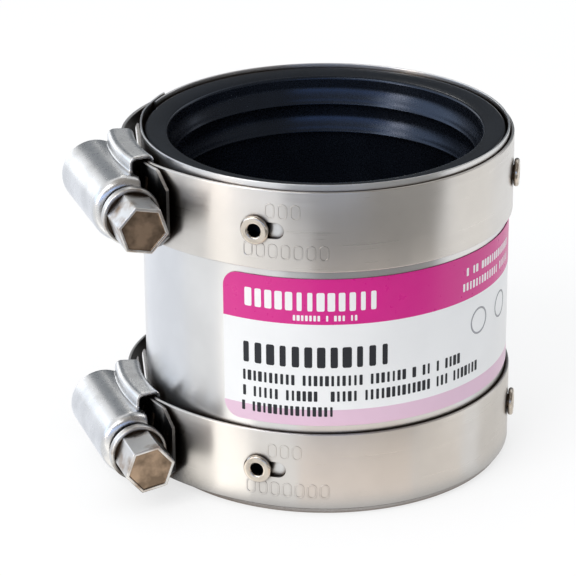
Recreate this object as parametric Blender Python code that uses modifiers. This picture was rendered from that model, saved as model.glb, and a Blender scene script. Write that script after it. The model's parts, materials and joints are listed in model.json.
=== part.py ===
"""A shielded coupling for 40 mm (1-1/2 inch) pipe.

A rubber sleeve with sealing ribs and a middle stop sits in a thin steel shield,
and two worm-drive clamps draw the shield and the sleeve down on the pipe ends.
The pipe's axis is vertical. Both clamp housings are on the -X side, and their
screws lie along Y with the hexagon heads towards -Y.
"""

import math

import bmesh
import bpy
from mathutils import Matrix, Vector

MM = 0.001

# Sleeve: the bore is at the lips, and each depth is measured from the sleeve's own end.
BORE_RADIUS = 24.7 * MM
SLEEVE_WALL = 3.6 * MM
SLEEVE_SETBACK = 0.5 * MM
LIP_ROUND = 0.45 * MM
LIP_DROP = 0.5 * MM
RIB_COUNT = 2
RIB_PITCH = 4.8 * MM
RIB_HEIGHT = 0.95 * MM
RIB_FLANK = 2.5 * MM
RIB_CREST = 0.3 * MM
FIRST_RIB_DEPTH = 2.2 * MM
STOP_HEIGHT = 2.6 * MM
STOP_WIDTH = 3.0 * MM
STOP_ROUND = 0.4 * MM

# Shield: a rolled sheet whose outer end laps over its inner end.
SHIELD_LENGTH = 54.0 * MM
SHIELD_SHEET = 0.3 * MM
SLEEVE_GAP = 0.3 * MM
LAP_WIDTH = 4.6 * MM
LAP_GAP = 0.25 * MM
LAP_SPRING = 0.15 * MM
LAP_ANGLE = math.radians(132.0)
LAP_EASE_ANGLE = math.radians(36.0)

# Label: a thin printed sheet on the shield between the clamps.
LABEL_LENGTH = 76.2 * MM
LABEL_HEIGHT = 24.1 * MM
LABEL_THICKNESS = 0.1 * MM
LABEL_GAP = 0.06 * MM
LABEL_CORNER = 2.6 * MM
LABEL_ANGLE = math.radians(218.0)

# Clamp band: one strip, fixed end under the housing, slotted tail on top of it.
BAND_WIDTH = 12.7 * MM
BAND_SHEET = 0.55 * MM
BAND_GAP = 0.15 * MM
BAND_INSET = 0.95 * MM
FIXED_END_REACH = 3.6 * MM
FIXED_SETTLE_START = math.radians(192.0)
FIXED_SETTLE_END = math.radians(230.0)
TAIL_RISE_START = math.radians(112.0)
TAIL_RISE_END = math.radians(166.0)
TAIL_REACH = 12.6 * MM
TAIL_SPRING = 0.3 * MM
TAIL_CHAMFER_LENGTH = 3.0 * MM
TAIL_CHAMFER_HEIGHT = 2.6 * MM
SLOT_LENGTH = 9.0 * MM
SLOT_WIDTH = 1.5 * MM
SLOTS_BEHIND = 22
SLOTS_AHEAD = 2

# Worm screw: stations along it are measured from the middle of the housing.
WORM_PITCH = 3.2 * MM
WORM_CREST_RADIUS = 2.9 * MM
WORM_DEPTH = 0.75 * MM
WORM_TURNS = 4
WORM_CREST_WIDTH = 0.8 * MM
WORM_BASE_WIDTH = 1.8 * MM
WORM_RUNNING_GAP = 0.1 * MM
WORM_SINK = 0.25 * MM
NOSE_RADIUS = 1.9 * MM
FLANGE_RADIUS = 4.55 * MM
FLANGE_THICKNESS = 1.4 * MM
FLANGE_GAP = 1.3 * MM
FLANGE_RIM = 0.7 * MM
FLANGE_GROOVE = 0.35 * MM
HEX_ACROSS_FLATS = 7.0 * MM
HEX_HEIGHT = 6.1 * MM
HEX_CHAMFER = 0.22 * MM
HEX_RIM = 0.16 * MM
HEX_RECESS = 0.22 * MM
HEX_RECESS_RUN = 0.11 * MM
HEX_SINK = 0.9 * MM

# Housing: a pressed barrel round the worm and a saddle round the band.
BARREL_RADIUS = 5.25 * MM
BARREL_SHEET = 0.75 * MM
BARREL_FRONT = 9.0 * MM
BARREL_REAR = 10.3 * MM
BARREL_ROUND = 1.2 * MM
BARREL_TRIM = 0.6 * MM
COLLAR_GAP = 0.35 * MM
SADDLE_SHEET = 0.65 * MM
SADDLE_STANDOFF = 1.05 * MM
SADDLE_SIDE_GAP = 0.25 * MM
SADDLE_HEADROOM = 1.45 * MM
SADDLE_REAR = 8.0 * MM
SADDLE_FRONT = 5.6 * MM
SADDLE_CORNER = 1.1 * MM
SEAM_WIDTH = 0.4 * MM

# Hollow rivets: each holds a band to the shield.
RIVET_BORE_RADIUS = 1.0 * MM
RIVET_WALL = 0.15 * MM
RIVET_FLANGE_RADIUS = 2.25 * MM
RIVET_FLANGE_HEIGHT = 0.85 * MM
RIVET_FUNNEL = 0.25 * MM
RIVET_FUNNEL_DEPTH = 0.5 * MM
RIVET_FLARE_RADIUS = 1.85 * MM
RIVET_FLARE_THICKNESS = 0.2 * MM
RIVET_GAP = 0.1 * MM
FLARE_GAP = 0.2 * MM
RIVET_HOLE_GAP = 0.15 * MM
RIVET_SLOT_REACH = 4.4 * MM
POCKET_GAP = 0.4 * MM
FRONT_RIVET_ANGLE = math.radians(229.7)
SIDE_RIVET_ANGLE = math.radians(333.0)

# Resting angle of each hexagon, from the housing's outward direction.
UPPER_HEX_ANGLE = math.radians(12.6)
LOWER_HEX_ANGLE = math.radians(-9.8)

# Facets: every sheet wrapped round the pipe's axis bends at the same angles.
FACETS = 56
FACET_ANGLE = 2.0 * math.pi / FACETS
SCREW_FACETS = 20
WORM_STEPS = 12
RIVET_FACETS = 12
ROUND_STEPS = 3
CORNER_STEPS = 2
RIVET_SLOT_STEPS = 4
MERGE = 0.000001
CUT_MARGIN = 1.0 * MM
SMOOTH_ANGLE = math.radians(32.0)

# Sizes that follow from the ones above.
SLEEVE_RADIUS = BORE_RADIUS + SLEEVE_WALL
SHIELD_INNER = SLEEVE_RADIUS + SLEEVE_GAP
SHIELD_OUTER = SHIELD_INNER + SHIELD_SHEET
BAND_INNER = SHIELD_OUTER + BAND_GAP
BAND_OUTER = BAND_INNER + BAND_SHEET
SADDLE_UNDER = SHIELD_OUTER + SADDLE_STANDOFF
SADDLE_FLOOR = SADDLE_UNDER + SADDLE_SHEET
FIXED_INNER = SADDLE_FLOOR + BAND_GAP
TAIL_INNER = FIXED_INNER + BAND_SHEET + BAND_GAP
TAIL_OUTER = TAIL_INNER + BAND_SHEET
SADDLE_CEILING = TAIL_OUTER + SADDLE_HEADROOM
SADDLE_TOP = SADDLE_CEILING + SADDLE_SHEET
SADDLE_HALF_ROOM = BAND_WIDTH / 2.0 + SADDLE_SIDE_GAP
SADDLE_HALF_WIDTH = SADDLE_HALF_ROOM + SADDLE_SHEET
WORM_ROOT_RADIUS = WORM_CREST_RADIUS - WORM_DEPTH
SCREW_DISTANCE = TAIL_OUTER + WORM_RUNNING_GAP + WORM_CREST_RADIUS
BARREL_INNER = BARREL_RADIUS - BARREL_SHEET
COLLAR_RADIUS = WORM_ROOT_RADIUS + COLLAR_GAP
FLANGE_BACK = BARREL_FRONT + FLANGE_GAP
FLANGE_FRONT = FLANGE_BACK + FLANGE_THICKNESS
HEX_FACE = FLANGE_FRONT + HEX_HEIGHT
HEX_RADIUS = HEX_ACROSS_FLATS / math.sqrt(3.0)
RIVET_SHANK = RIVET_BORE_RADIUS + RIVET_WALL
RIVET_HOLE = RIVET_SHANK + RIVET_HOLE_GAP
FLARE_TOP = SHIELD_INNER - FLARE_GAP
FLARE_BOTTOM = FLARE_TOP - RIVET_FLARE_THICKNESS
HOUSING_ANGLE = math.pi
UPPER_CLAMP_HEIGHT = SHIELD_LENGTH - BAND_INSET - BAND_WIDTH / 2.0
LOWER_CLAMP_HEIGHT = BAND_INSET + BAND_WIDTH / 2.0
MIDDLE_HEIGHT = SHIELD_LENGTH / 2.0
PIPE_AXIS_X = (SCREW_DISTANCE + BARREL_RADIUS - BAND_OUTER) / 2.0


def clear_scene():
    """Remove every object that the file opened with."""
    for thing in list(bpy.data.objects):
        bpy.data.objects.remove(thing, do_unlink=True)


def new_collection(name):
    """A collection under the scene's own."""
    group = bpy.data.collections.new(name)
    bpy.context.scene.collection.children.link(group)
    return group


def finish(name, colour, roughness, metallic):
    """A plain Principled finish for one kind of piece."""
    material = bpy.data.materials.new(name)
    material.use_nodes = True
    shader = material.node_tree.nodes["Principled BSDF"]
    shader.inputs["Base Color"].default_value = (*colour, 1.0)
    shader.inputs["Roughness"].default_value = roughness
    shader.inputs["Metallic"].default_value = metallic
    return material


def place(name, mesh, group, material=None, parent=None):
    """Link a mesh as a new object."""
    thing = bpy.data.objects.new(name, mesh)
    group.objects.link(thing)
    thing.parent = parent
    if material:
        mesh.materials.append(material)
    return thing


def shade(mesh):
    """Smooth shading that keeps the real edges sharp."""
    mesh.shade_smooth()
    mesh.set_sharp_from_angle(angle=SMOOTH_ANGLE)


def mesh_from(name, bm):
    """Turn a bmesh into mesh data and free it."""
    mesh = bpy.data.meshes.new(name)
    bm.to_mesh(mesh)
    bm.free()
    return mesh


def evaluated_mesh(thing):
    """The mesh that an object shows with its modifiers."""
    bpy.context.view_layer.update()
    graph = bpy.context.evaluated_depsgraph_get()
    return bpy.data.meshes.new_from_object(thing.evaluated_get(graph))


def ease(share):
    """Rise smoothly from 0 to 1 while share goes from 0 to 1."""
    share = min(max(share, 0.0), 1.0)
    return math.sin(share * math.pi / 2.0) ** 2


def arc(centre, radius, start, end, steps):
    """Points of an arc in a plane, both ends included."""
    points = []
    for step in range(steps + 1):
        angle = start + (end - start) * step / steps
        points.append((centre[0] + radius * math.cos(angle), centre[1] + radius * math.sin(angle)))
    return points


def rounded_rectangle(low, high, radius, steps):
    """Outline of a rectangle with round corners, anticlockwise."""
    turn = math.pi / 2.0
    centres = (
        (high[0] - radius, low[1] + radius),
        (high[0] - radius, high[1] - radius),
        (low[0] + radius, high[1] - radius),
        (low[0] + radius, low[1] + radius),
    )
    points = []
    for corner, centre in enumerate(centres):
        points += arc(centre, radius, (corner - 1) * turn, corner * turn, steps)
    return points


def turned(name, profile, facets, group, material=None, parent=None, closed=True):
    """A body of revolution about Z: the profile runs down its outer side."""
    bm = bmesh.new()
    points = [bm.verts.new((radius, 0.0, height)) for radius, height in profile]
    for first, second in zip(points, points[1:]):
        bm.edges.new((first, second))
    if closed:
        bm.edges.new((points[-1], points[0]))
    thing = place(name, mesh_from(name, bm), group, material, parent)
    turn = thing.modifiers.new("Turn", "SCREW")
    turn.axis = "Z"
    turn.steps = facets
    turn.render_steps = facets
    turn.use_merge_vertices = True
    turn.merge_threshold = MERGE
    turn.use_smooth_shade = True
    return thing


def prism(name, outlines, low, high, group):
    """Flat outlines in XY, pulled from one height to another."""
    bm = bmesh.new()
    bases = []
    for outline in outlines:
        bases.append(bm.faces.new([bm.verts.new((x, y, low)) for x, y in outline]))
    pulled = bmesh.ops.extrude_face_region(bm, geom=bases)
    top = [item for item in pulled["geom"] if isinstance(item, bmesh.types.BMVert)]
    bmesh.ops.translate(bm, verts=top, vec=(0.0, 0.0, high - low))
    bmesh.ops.recalc_face_normals(bm, faces=bm.faces)
    return place(name, mesh_from(name, bm), group)


def block(name, low, high, group, parent=None):
    """A box between two corners."""
    bm = bmesh.new()
    middle = [(a + b) / 2.0 for a, b in zip(low, high)]
    size = [b - a for a, b in zip(low, high)]
    spot = Matrix.Translation(middle) @ Matrix.Diagonal((*size, 1.0))
    bmesh.ops.create_cube(bm, size=1.0, matrix=spot)
    return place(name, mesh_from(name, bm), group, None, parent)


def combine(target, tool, operation):
    """Cut or join one object with another, and keep the tool out of renders."""
    tool.hide_render = True
    tool.display_type = "WIRE"
    step = target.modifiers.new(operation.title(), "BOOLEAN")
    step.operation = operation
    step.solver = "EXACT"
    step.object = tool


def bend(mesh, radius_at):
    """Roll a flat sheet round Z.

    X is the angle times SHIELD_OUTER, Y the height and Z the depth in the sheet.
    The sheet bends only at whole facets, so neighbouring sheets stay parallel.
    """
    bm = bmesh.new()
    bm.from_mesh(mesh)
    start = min(vert.co.x for vert in bm.verts) / SHIELD_OUTER
    end = max(vert.co.x for vert in bm.verts) / SHIELD_OUTER
    for station in range(math.ceil(start / FACET_ANGLE), math.floor(end / FACET_ANGLE) + 1):
        spot = (station * FACET_ANGLE * SHIELD_OUTER, 0.0, 0.0)
        everything = bm.verts[:] + bm.edges[:] + bm.faces[:]
        bmesh.ops.bisect_plane(bm, geom=everything, dist=MERGE, plane_co=spot, plane_no=(1.0, 0.0, 0.0))
    for vert in bm.verts:
        angle = vert.co.x / SHIELD_OUTER
        station = math.floor(angle / FACET_ANGLE)
        share = angle / FACET_ANGLE - station
        corners = []
        for number in (station, station + 1):
            reach = radius_at(number * FACET_ANGLE) + vert.co.z
            corner = number * FACET_ANGLE
            corners.append(Vector((reach * math.cos(corner), reach * math.sin(corner), vert.co.y)))
        vert.co = corners[0].lerp(corners[1], share)
    bm.to_mesh(mesh)
    bm.free()


def rolled_sheet(name, outline, thickness, holes, radius_at, group, tools, material, parent):
    """Cut a flat sheet, then roll it round the pipe's axis."""
    flat = prism(name + "_flat", [outline], 0.0, thickness, tools)
    scraps = [flat]
    if holes:
        punch = prism(name + "_punch", holes, -CUT_MARGIN, thickness + CUT_MARGIN, tools)
        combine(flat, punch, "DIFFERENCE")
        scraps.append(punch)
    mesh = evaluated_mesh(flat)
    mesh.name = name
    for scrap in scraps:
        bpy.data.objects.remove(scrap, do_unlink=True)
    bend(mesh, radius_at)
    shade(mesh)
    return place(name, mesh, group, material, parent)


def sleeve_inner_half():
    """The bore from a lip, which slopes inwards, to the middle, as (radius, depth below the lip)."""
    lip = (BORE_RADIUS + LIP_ROUND, LIP_DROP + LIP_ROUND)
    points = arc(lip, LIP_ROUND, -math.pi / 2.0, -math.pi, CORNER_STEPS)
    for rib in range(RIB_COUNT):
        depth = FIRST_RIB_DEPTH + rib * RIB_PITCH
        crest = BORE_RADIUS - RIB_HEIGHT
        points.append((BORE_RADIUS, depth))
        points.append((crest, depth + RIB_FLANK))
        points.append((crest, depth + RIB_FLANK + RIB_CREST))
        points.append((BORE_RADIUS, depth + RIB_FLANK + 2.0 * RIB_CREST))
    middle = MIDDLE_HEIGHT - SLEEVE_SETBACK
    points.append((BORE_RADIUS, middle - STOP_WIDTH / 2.0))
    points.append((BORE_RADIUS - STOP_HEIGHT + STOP_ROUND, middle - STOP_WIDTH / 2.0))
    points.append((BORE_RADIUS - STOP_HEIGHT, middle - STOP_WIDTH / 2.0 + STOP_ROUND))
    return points


def make_sleeve(group, tools, material, parent):
    """The rubber sleeve, with pockets where the rivets' flares press into it."""
    top = SHIELD_LENGTH - SLEEVE_SETBACK
    bottom = SLEEVE_SETBACK
    profile = [
        (SLEEVE_RADIUS, top),
        (SLEEVE_RADIUS, bottom),
    ]
    half = sleeve_inner_half()
    profile += [(radius, bottom + depth) for radius, depth in half]
    profile += [(radius, top - depth) for radius, depth in reversed(half)]
    sleeve = turned("rubber_sleeve", profile, FACETS, group, material, parent)
    pocket_floor = FLARE_BOTTOM - POCKET_GAP
    pocket_radius = RIVET_FLARE_RADIUS + POCKET_GAP
    for height in (UPPER_CLAMP_HEIGHT, LOWER_CLAMP_HEIGHT):
        for angle in (FRONT_RIVET_ANGLE, SIDE_RIVET_ANGLE):
            outline = arc((0.0, 0.0), pocket_radius, 0.0, 2.0 * math.pi, RIVET_FACETS)[:-1]
            pocket = prism("sleeve_pocket", [outline], pocket_floor, SHIELD_OUTER, tools)
            pocket.parent = parent
            pocket.matrix_local = outward_frame(angle, height)
            combine(sleeve, pocket, "DIFFERENCE")
    return sleeve


def outward_frame(angle, height):
    """A frame on the pipe's axis whose Z points out at an angle."""
    turn = Matrix.Rotation(angle, 4, "Z") @ Matrix.Rotation(math.pi / 2.0, 4, "Y")
    return Matrix.Translation((0.0, 0.0, height)) @ turn


def lap_lift(angle):
    """How far the shield's lapped outer end stands off, from its edge onwards."""
    lap = LAP_WIDTH / SHIELD_OUTER
    past_lap = (angle - LAP_ANGLE - lap) / (LAP_EASE_ANGLE - lap)
    over_lap = (angle - LAP_ANGLE) / lap
    spring = LAP_SPRING * (1.0 - ease(over_lap))
    return (SHIELD_SHEET + LAP_GAP) * (1.0 - ease(past_lap)) + spring


def shield_radius(angle):
    """Inner radius of the shield's sheet, from its outer end to its inner end."""
    return SHIELD_INNER + lap_lift(angle)


def make_shield(group, tools, material, parent):
    """The rolled steel shield, with a round hole at each rivet."""
    start = LAP_ANGLE * SHIELD_OUTER
    end = start + 2.0 * math.pi * SHIELD_OUTER + LAP_WIDTH
    outline = [(start, 0.0), (end, 0.0), (end, SHIELD_LENGTH), (start, SHIELD_LENGTH)]
    holes = []
    for height in (UPPER_CLAMP_HEIGHT, LOWER_CLAMP_HEIGHT):
        for angle in (FRONT_RIVET_ANGLE, SIDE_RIVET_ANGLE):
            centre = (angle * SHIELD_OUTER, height)
            holes.append(arc(centre, RIVET_HOLE, 0.0, 2.0 * math.pi, RIVET_FACETS)[:-1])
    return rolled_sheet(
        "shield", outline, SHIELD_SHEET, holes, shield_radius, group, tools, material, parent
    )


def make_label(group, tools, material, parent):
    """The paper label with round corners, stuck on the shield."""
    start = LABEL_ANGLE * SHIELD_OUTER
    low = (start, MIDDLE_HEIGHT - LABEL_HEIGHT / 2.0)
    high = (start + LABEL_LENGTH, MIDDLE_HEIGHT + LABEL_HEIGHT / 2.0)
    outline = rounded_rectangle(low, high, LABEL_CORNER, ROUND_STEPS)
    return rolled_sheet(
        "label", outline, LABEL_THICKNESS, [], label_radius, group, tools, material, parent
    )


def label_radius(_angle):
    """The label follows the shield's outer face."""
    return SHIELD_OUTER + LABEL_GAP


def band_radius(angle):
    """Inner radius of a band, from its fixed end once round and on to its tail's tip."""
    full = 2.0 * math.pi
    fixed_share = (FIXED_SETTLE_END - angle) / (FIXED_SETTLE_END - FIXED_SETTLE_START)
    tail_share = (angle - full - TAIL_RISE_START) / (TAIL_RISE_END - TAIL_RISE_START)
    tip_angle = full + HOUSING_ANGLE + TAIL_REACH / TAIL_OUTER
    free_angle = full + HOUSING_ANGLE + FLANGE_BACK / TAIL_OUTER
    spring_share = (angle - free_angle) / (tip_angle - free_angle)
    fixed_lift = (FIXED_INNER - BAND_INNER) * min(max(fixed_share, 0.0), 1.0) ** 2
    tail_lift = (TAIL_INNER - BAND_INNER) * ease(tail_share)
    spring = TAIL_SPRING * max(spring_share, 0.0)
    return BAND_INNER + fixed_lift + tail_lift + spring


def slot_angles():
    """Angles of the tail's slots, one worm pitch apart along the band's outer face."""
    middle = 2.0 * math.pi + HOUSING_ANGLE
    angles = [middle]
    for direction, count in ((-1.0, SLOTS_BEHIND), (1.0, SLOTS_AHEAD)):
        angle = middle
        for _ in range(count):
            angle += direction * WORM_PITCH / (band_radius(angle) + BAND_SHEET)
            angles.append(angle)
    return angles


def slot_outline(angle, height):
    """One slot across the band, slanted like the worm's thread, with round ends."""
    mean_radius = WORM_CREST_RADIUS - WORM_DEPTH / 2.0
    slant = math.atan(WORM_PITCH / (2.0 * math.pi * mean_radius))
    half_run = (SLOT_LENGTH - SLOT_WIDTH) / 2.0
    stretch = SHIELD_OUTER / (band_radius(angle) + BAND_SHEET)
    upper = arc((0.0, half_run), SLOT_WIDTH / 2.0, 0.0, math.pi, CORNER_STEPS)
    lower = arc((0.0, -half_run), SLOT_WIDTH / 2.0, math.pi, 2.0 * math.pi, CORNER_STEPS)
    points = []
    for across, up in upper + lower:
        leaning = across + up * math.tan(slant)
        points.append((angle * SHIELD_OUTER + leaning * stretch, height + up))
    return points


def rivet_slot(angle, height):
    """The long hole that lets the band slide past a rivet."""
    upper = arc((RIVET_SLOT_REACH - RIVET_HOLE, 0.0), RIVET_HOLE, -math.pi / 2.0, math.pi / 2.0, RIVET_SLOT_STEPS)
    lower = arc((0.0, 0.0), RIVET_HOLE, math.pi / 2.0, 1.5 * math.pi, RIVET_SLOT_STEPS)
    return [(angle * SHIELD_OUTER + across, height + up) for across, up in upper + lower]


def make_band(name, height, group, tools, material, parent):
    """One clamp band: a plain fixed end, two rivet slots and a slotted tail."""
    low = height - BAND_WIDTH / 2.0
    high = height + BAND_WIDTH / 2.0
    start = (HOUSING_ANGLE - FIXED_END_REACH / FIXED_INNER) * SHIELD_OUTER
    end = (2.0 * math.pi + HOUSING_ANGLE + TAIL_REACH / TAIL_OUTER) * SHIELD_OUTER
    outline = [
        (start, low),
        (end - TAIL_CHAMFER_LENGTH, low),
        (end, low + TAIL_CHAMFER_HEIGHT),
        (end, high - TAIL_CHAMFER_HEIGHT),
        (end - TAIL_CHAMFER_LENGTH, high),
        (start, high),
    ]
    holes = [slot_outline(angle, height) for angle in slot_angles()]
    holes += [rivet_slot(angle, height) for angle in (FRONT_RIVET_ANGLE, SIDE_RIVET_ANGLE)]
    return rolled_sheet(name, outline, BAND_SHEET, holes, band_radius, group, tools, material, parent)


def screw_core_profile():
    """The worm's core, its nose and its flange, from the head's foot to the nose."""
    groove_floor = FLANGE_FRONT - FLANGE_GROOVE
    rim_inner = FLANGE_RADIUS - FLANGE_RIM
    edge = FLANGE_GROOVE / 2.0
    worm_end = WORM_TURNS * WORM_PITCH / 2.0 + WORM_BASE_WIDTH / 2.0
    return [
        (0.0, groove_floor),
        (rim_inner - edge, groove_floor),
        (rim_inner, FLANGE_FRONT),
        (FLANGE_RADIUS - edge, FLANGE_FRONT),
        (FLANGE_RADIUS, FLANGE_FRONT - edge),
        (FLANGE_RADIUS, FLANGE_BACK + edge),
        (FLANGE_RADIUS - edge, FLANGE_BACK),
        (WORM_ROOT_RADIUS, FLANGE_BACK),
        (WORM_ROOT_RADIUS, -worm_end),
        (NOSE_RADIUS, -worm_end),
        (NOSE_RADIUS, -BARREL_REAR),
        (0.0, -BARREL_REAR),
    ]


def make_worm_thread(tools, parent):
    """The worm's thread: a trapezoid swept along a right-hand helix."""
    foot = WORM_ROOT_RADIUS - WORM_SINK
    base = WORM_BASE_WIDTH / 2.0
    crest = WORM_CREST_WIDTH / 2.0
    start = -WORM_TURNS * WORM_PITCH / 2.0
    corners = [(foot, -base), (WORM_CREST_RADIUS, -crest), (WORM_CREST_RADIUS, crest), (foot, base)]
    bm = bmesh.new()
    profile = bm.faces.new([bm.verts.new((radius, 0.0, start + along)) for radius, along in corners])
    bmesh.ops.spin(
        bm,
        geom=[profile],
        cent=(0.0, 0.0, 0.0),
        axis=(0.0, 0.0, 1.0),
        dvec=(0.0, 0.0, WORM_PITCH / WORM_STEPS),
        angle=2.0 * math.pi * WORM_TURNS,
        steps=WORM_STEPS * WORM_TURNS,
        use_duplicate=False,
    )
    open_edges = [edge for edge in bm.edges if edge.is_boundary]
    if open_edges:
        bmesh.ops.holes_fill(bm, edges=open_edges)
    bmesh.ops.recalc_face_normals(bm, faces=bm.faces)
    return place("worm_thread", mesh_from("worm_thread", bm), tools, None, parent)


def make_hexagon(hex_angle, tools, parent):
    """The hexagon head, chamfered, with a shallow recess in its face."""
    foot = FLANGE_FRONT - HEX_SINK
    height = HEX_FACE - HEX_CHAMFER - foot
    bm = bmesh.new()
    turn = Matrix.Rotation(math.pi - hex_angle, 4, "Z")
    spot = Matrix.Translation((0.0, 0.0, foot + height / 2.0)) @ turn
    corner = Matrix.Rotation(-math.pi / 2.0, 4, "Z")
    bmesh.ops.create_cone(
        bm, cap_ends=True, segments=6, radius1=HEX_RADIUS, radius2=HEX_RADIUS, depth=height, matrix=spot @ corner
    )
    face = max(bm.faces, key=lambda item: item.calc_center_median().z)
    steps = ((HEX_CHAMFER, HEX_CHAMFER), (HEX_RIM, 0.0), (HEX_RECESS_RUN, -HEX_RECESS))
    for width, rise in steps:
        bmesh.ops.inset_individual(bm, faces=[face], thickness=width, depth=rise)
    return place("hexagon", mesh_from("hexagon", bm), tools, None, parent)


def make_screw(name, hex_angle, pivot, group, tools, material):
    """The worm screw in one piece: nose, thread, flange and hexagon head."""
    core = turned(name, screw_core_profile(), SCREW_FACETS, group, material, pivot, closed=False)
    combine(core, make_worm_thread(tools, pivot), "UNION")
    combine(core, make_hexagon(hex_angle, tools, pivot), "UNION")
    return core


def barrel_side(radius, front, rear, corner):
    """The round-ended side of a barrel, from its front to its rear."""
    points = arc((radius - corner, front - corner), corner, math.pi / 2.0, 0.0, ROUND_STEPS)
    return points + arc((radius - corner, rear + corner), corner, 0.0, -math.pi / 2.0, ROUND_STEPS)


def barrel_profile():
    """The closed barrel that the housing starts from."""
    side = barrel_side(BARREL_RADIUS, BARREL_FRONT, -BARREL_REAR, BARREL_ROUND)
    return [(0.0, BARREL_FRONT), *side, (0.0, -BARREL_REAR)]


def barrel_room_profile():
    """The room inside the barrel, with a hole through each end for the screw."""
    front = BARREL_FRONT + CUT_MARGIN
    rear = -BARREL_REAR - CUT_MARGIN
    side = barrel_side(
        BARREL_INNER, BARREL_FRONT - BARREL_SHEET, BARREL_SHEET - BARREL_REAR, BARREL_ROUND - BARREL_SHEET
    )
    points = [(0.0, front), (COLLAR_RADIUS, front), (COLLAR_RADIUS, BARREL_FRONT - BARREL_SHEET), *side]
    return points + [(COLLAR_RADIUS, BARREL_SHEET - BARREL_REAR), (COLLAR_RADIUS, rear), (0.0, rear)]


def saddle_shell(name, inner, outer, half_width, corner, start, end, tools, parent):
    """A solid band tunnel: a rounded section swept round the pipe's axis."""
    section = rounded_rectangle((inner, -half_width), (outer, half_width), corner, CORNER_STEPS)
    first = math.ceil(start / FACET_ANGLE + MERGE)
    last = math.floor(end / FACET_ANGLE - MERGE)
    angles = [start] + [number * FACET_ANGLE for number in range(first, last + 1)] + [end]
    bm = bmesh.new()
    rings = []
    for angle in angles:
        ring = []
        for radius, height in section:
            spot = facet_point(radius, angle)
            ring.append(bm.verts.new((spot[0], spot[1], height)))
        rings.append(ring)
    for ring, following in zip(rings, rings[1:]):
        for number in range(len(ring)):
            neighbour = (number + 1) % len(ring)
            bm.faces.new((ring[number], ring[neighbour], following[neighbour], following[number]))
    bm.faces.new(rings[0])
    bm.faces.new(rings[-1])
    bmesh.ops.recalc_face_normals(bm, faces=bm.faces)
    return place(name, mesh_from(name, bm), tools, None, parent)


def facet_point(radius, angle):
    """A point on the faceted circle that the bent sheets follow."""
    number = math.floor(angle / FACET_ANGLE + MERGE)
    share = max(angle / FACET_ANGLE - number, 0.0)
    low = number * FACET_ANGLE
    high = low + FACET_ANGLE
    x = radius * (math.cos(low) * (1.0 - share) + math.cos(high) * share)
    y = radius * (math.sin(low) * (1.0 - share) + math.sin(high) * share)
    return x, y


def make_housing(name, pivot, level, group, tools, material):
    """The housing, pressed from one sheet: a barrel on a saddle, seamed underneath."""
    room = CUT_MARGIN
    start = HOUSING_ANGLE - SADDLE_REAR / TAIL_OUTER
    end = HOUSING_ANGLE + SADDLE_FRONT / TAIL_OUTER
    extra = room / TAIL_OUTER
    housing = turned(name, barrel_profile(), SCREW_FACETS, group, material, pivot, closed=False)
    trim_height = SCREW_DISTANCE - TAIL_OUTER - BARREL_TRIM
    trim = block(
        "barrel_trim",
        (trim_height, -BARREL_RADIUS - room, -BARREL_REAR - room),
        (BARREL_RADIUS + room, BARREL_RADIUS + room, BARREL_FRONT + room),
        tools,
        pivot,
    )
    combine(housing, trim, "DIFFERENCE")
    saddle = saddle_shell(
        name + "_saddle", SADDLE_UNDER, SADDLE_TOP, SADDLE_HALF_WIDTH, SADDLE_CORNER, start, end, tools, level
    )
    combine(housing, saddle, "UNION")
    tunnel = saddle_shell(
        name + "_tunnel",
        SADDLE_FLOOR,
        SADDLE_CEILING,
        SADDLE_HALF_ROOM,
        SADDLE_CORNER - SADDLE_SHEET,
        start - extra,
        end + extra,
        tools,
        level,
    )
    combine(housing, tunnel, "DIFFERENCE")
    worm_room = turned(name + "_room", barrel_room_profile(), SCREW_FACETS, tools, None, pivot, closed=False)
    worm_room.matrix_local = Matrix.Rotation(math.pi / SCREW_FACETS, 4, "Z")
    combine(housing, worm_room, "DIFFERENCE")
    seam = block(
        name + "_seam",
        (-SADDLE_FLOOR - BAND_GAP / 2.0, -SADDLE_TOP, -SEAM_WIDTH / 2.0),
        (-SADDLE_UNDER / 2.0, SADDLE_TOP, SEAM_WIDTH / 2.0),
        tools,
        level,
    )
    combine(housing, seam, "DIFFERENCE")
    return housing


def rivet_profile():
    """A hollow rivet along its own axis: heights are distances from the pipe's axis."""
    seat = BAND_OUTER + RIVET_GAP
    top = seat + RIVET_FLANGE_HEIGHT
    round_radius = RIVET_FLANGE_HEIGHT / 2.0
    points = [(RIVET_BORE_RADIUS + RIVET_FUNNEL, top)]
    points += arc(
        (RIVET_FLANGE_RADIUS - round_radius, top - round_radius),
        round_radius,
        math.pi / 2.0,
        -math.pi / 2.0,
        ROUND_STEPS,
    )
    points += [
        (RIVET_SHANK, seat),
        (RIVET_SHANK, FLARE_TOP),
        (RIVET_FLARE_RADIUS, FLARE_TOP),
        (RIVET_FLARE_RADIUS, FLARE_BOTTOM),
        (RIVET_BORE_RADIUS, FLARE_BOTTOM),
        (RIVET_BORE_RADIUS, top - RIVET_FUNNEL_DEPTH),
    ]
    return points


def make_rivet(name, angle, height, group, material, parent):
    """One hollow rivet through a band and the shield."""
    rivet = turned(name, rivet_profile(), RIVET_FACETS, group, material, parent)
    rivet.matrix_local = outward_frame(angle, height)
    return rivet


def make_empty(name, group, parent, frame):
    """A frame that other pieces are placed in."""
    empty = bpy.data.objects.new(name, None)
    group.objects.link(empty)
    empty.parent = parent
    empty.matrix_local = frame
    return empty


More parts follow.
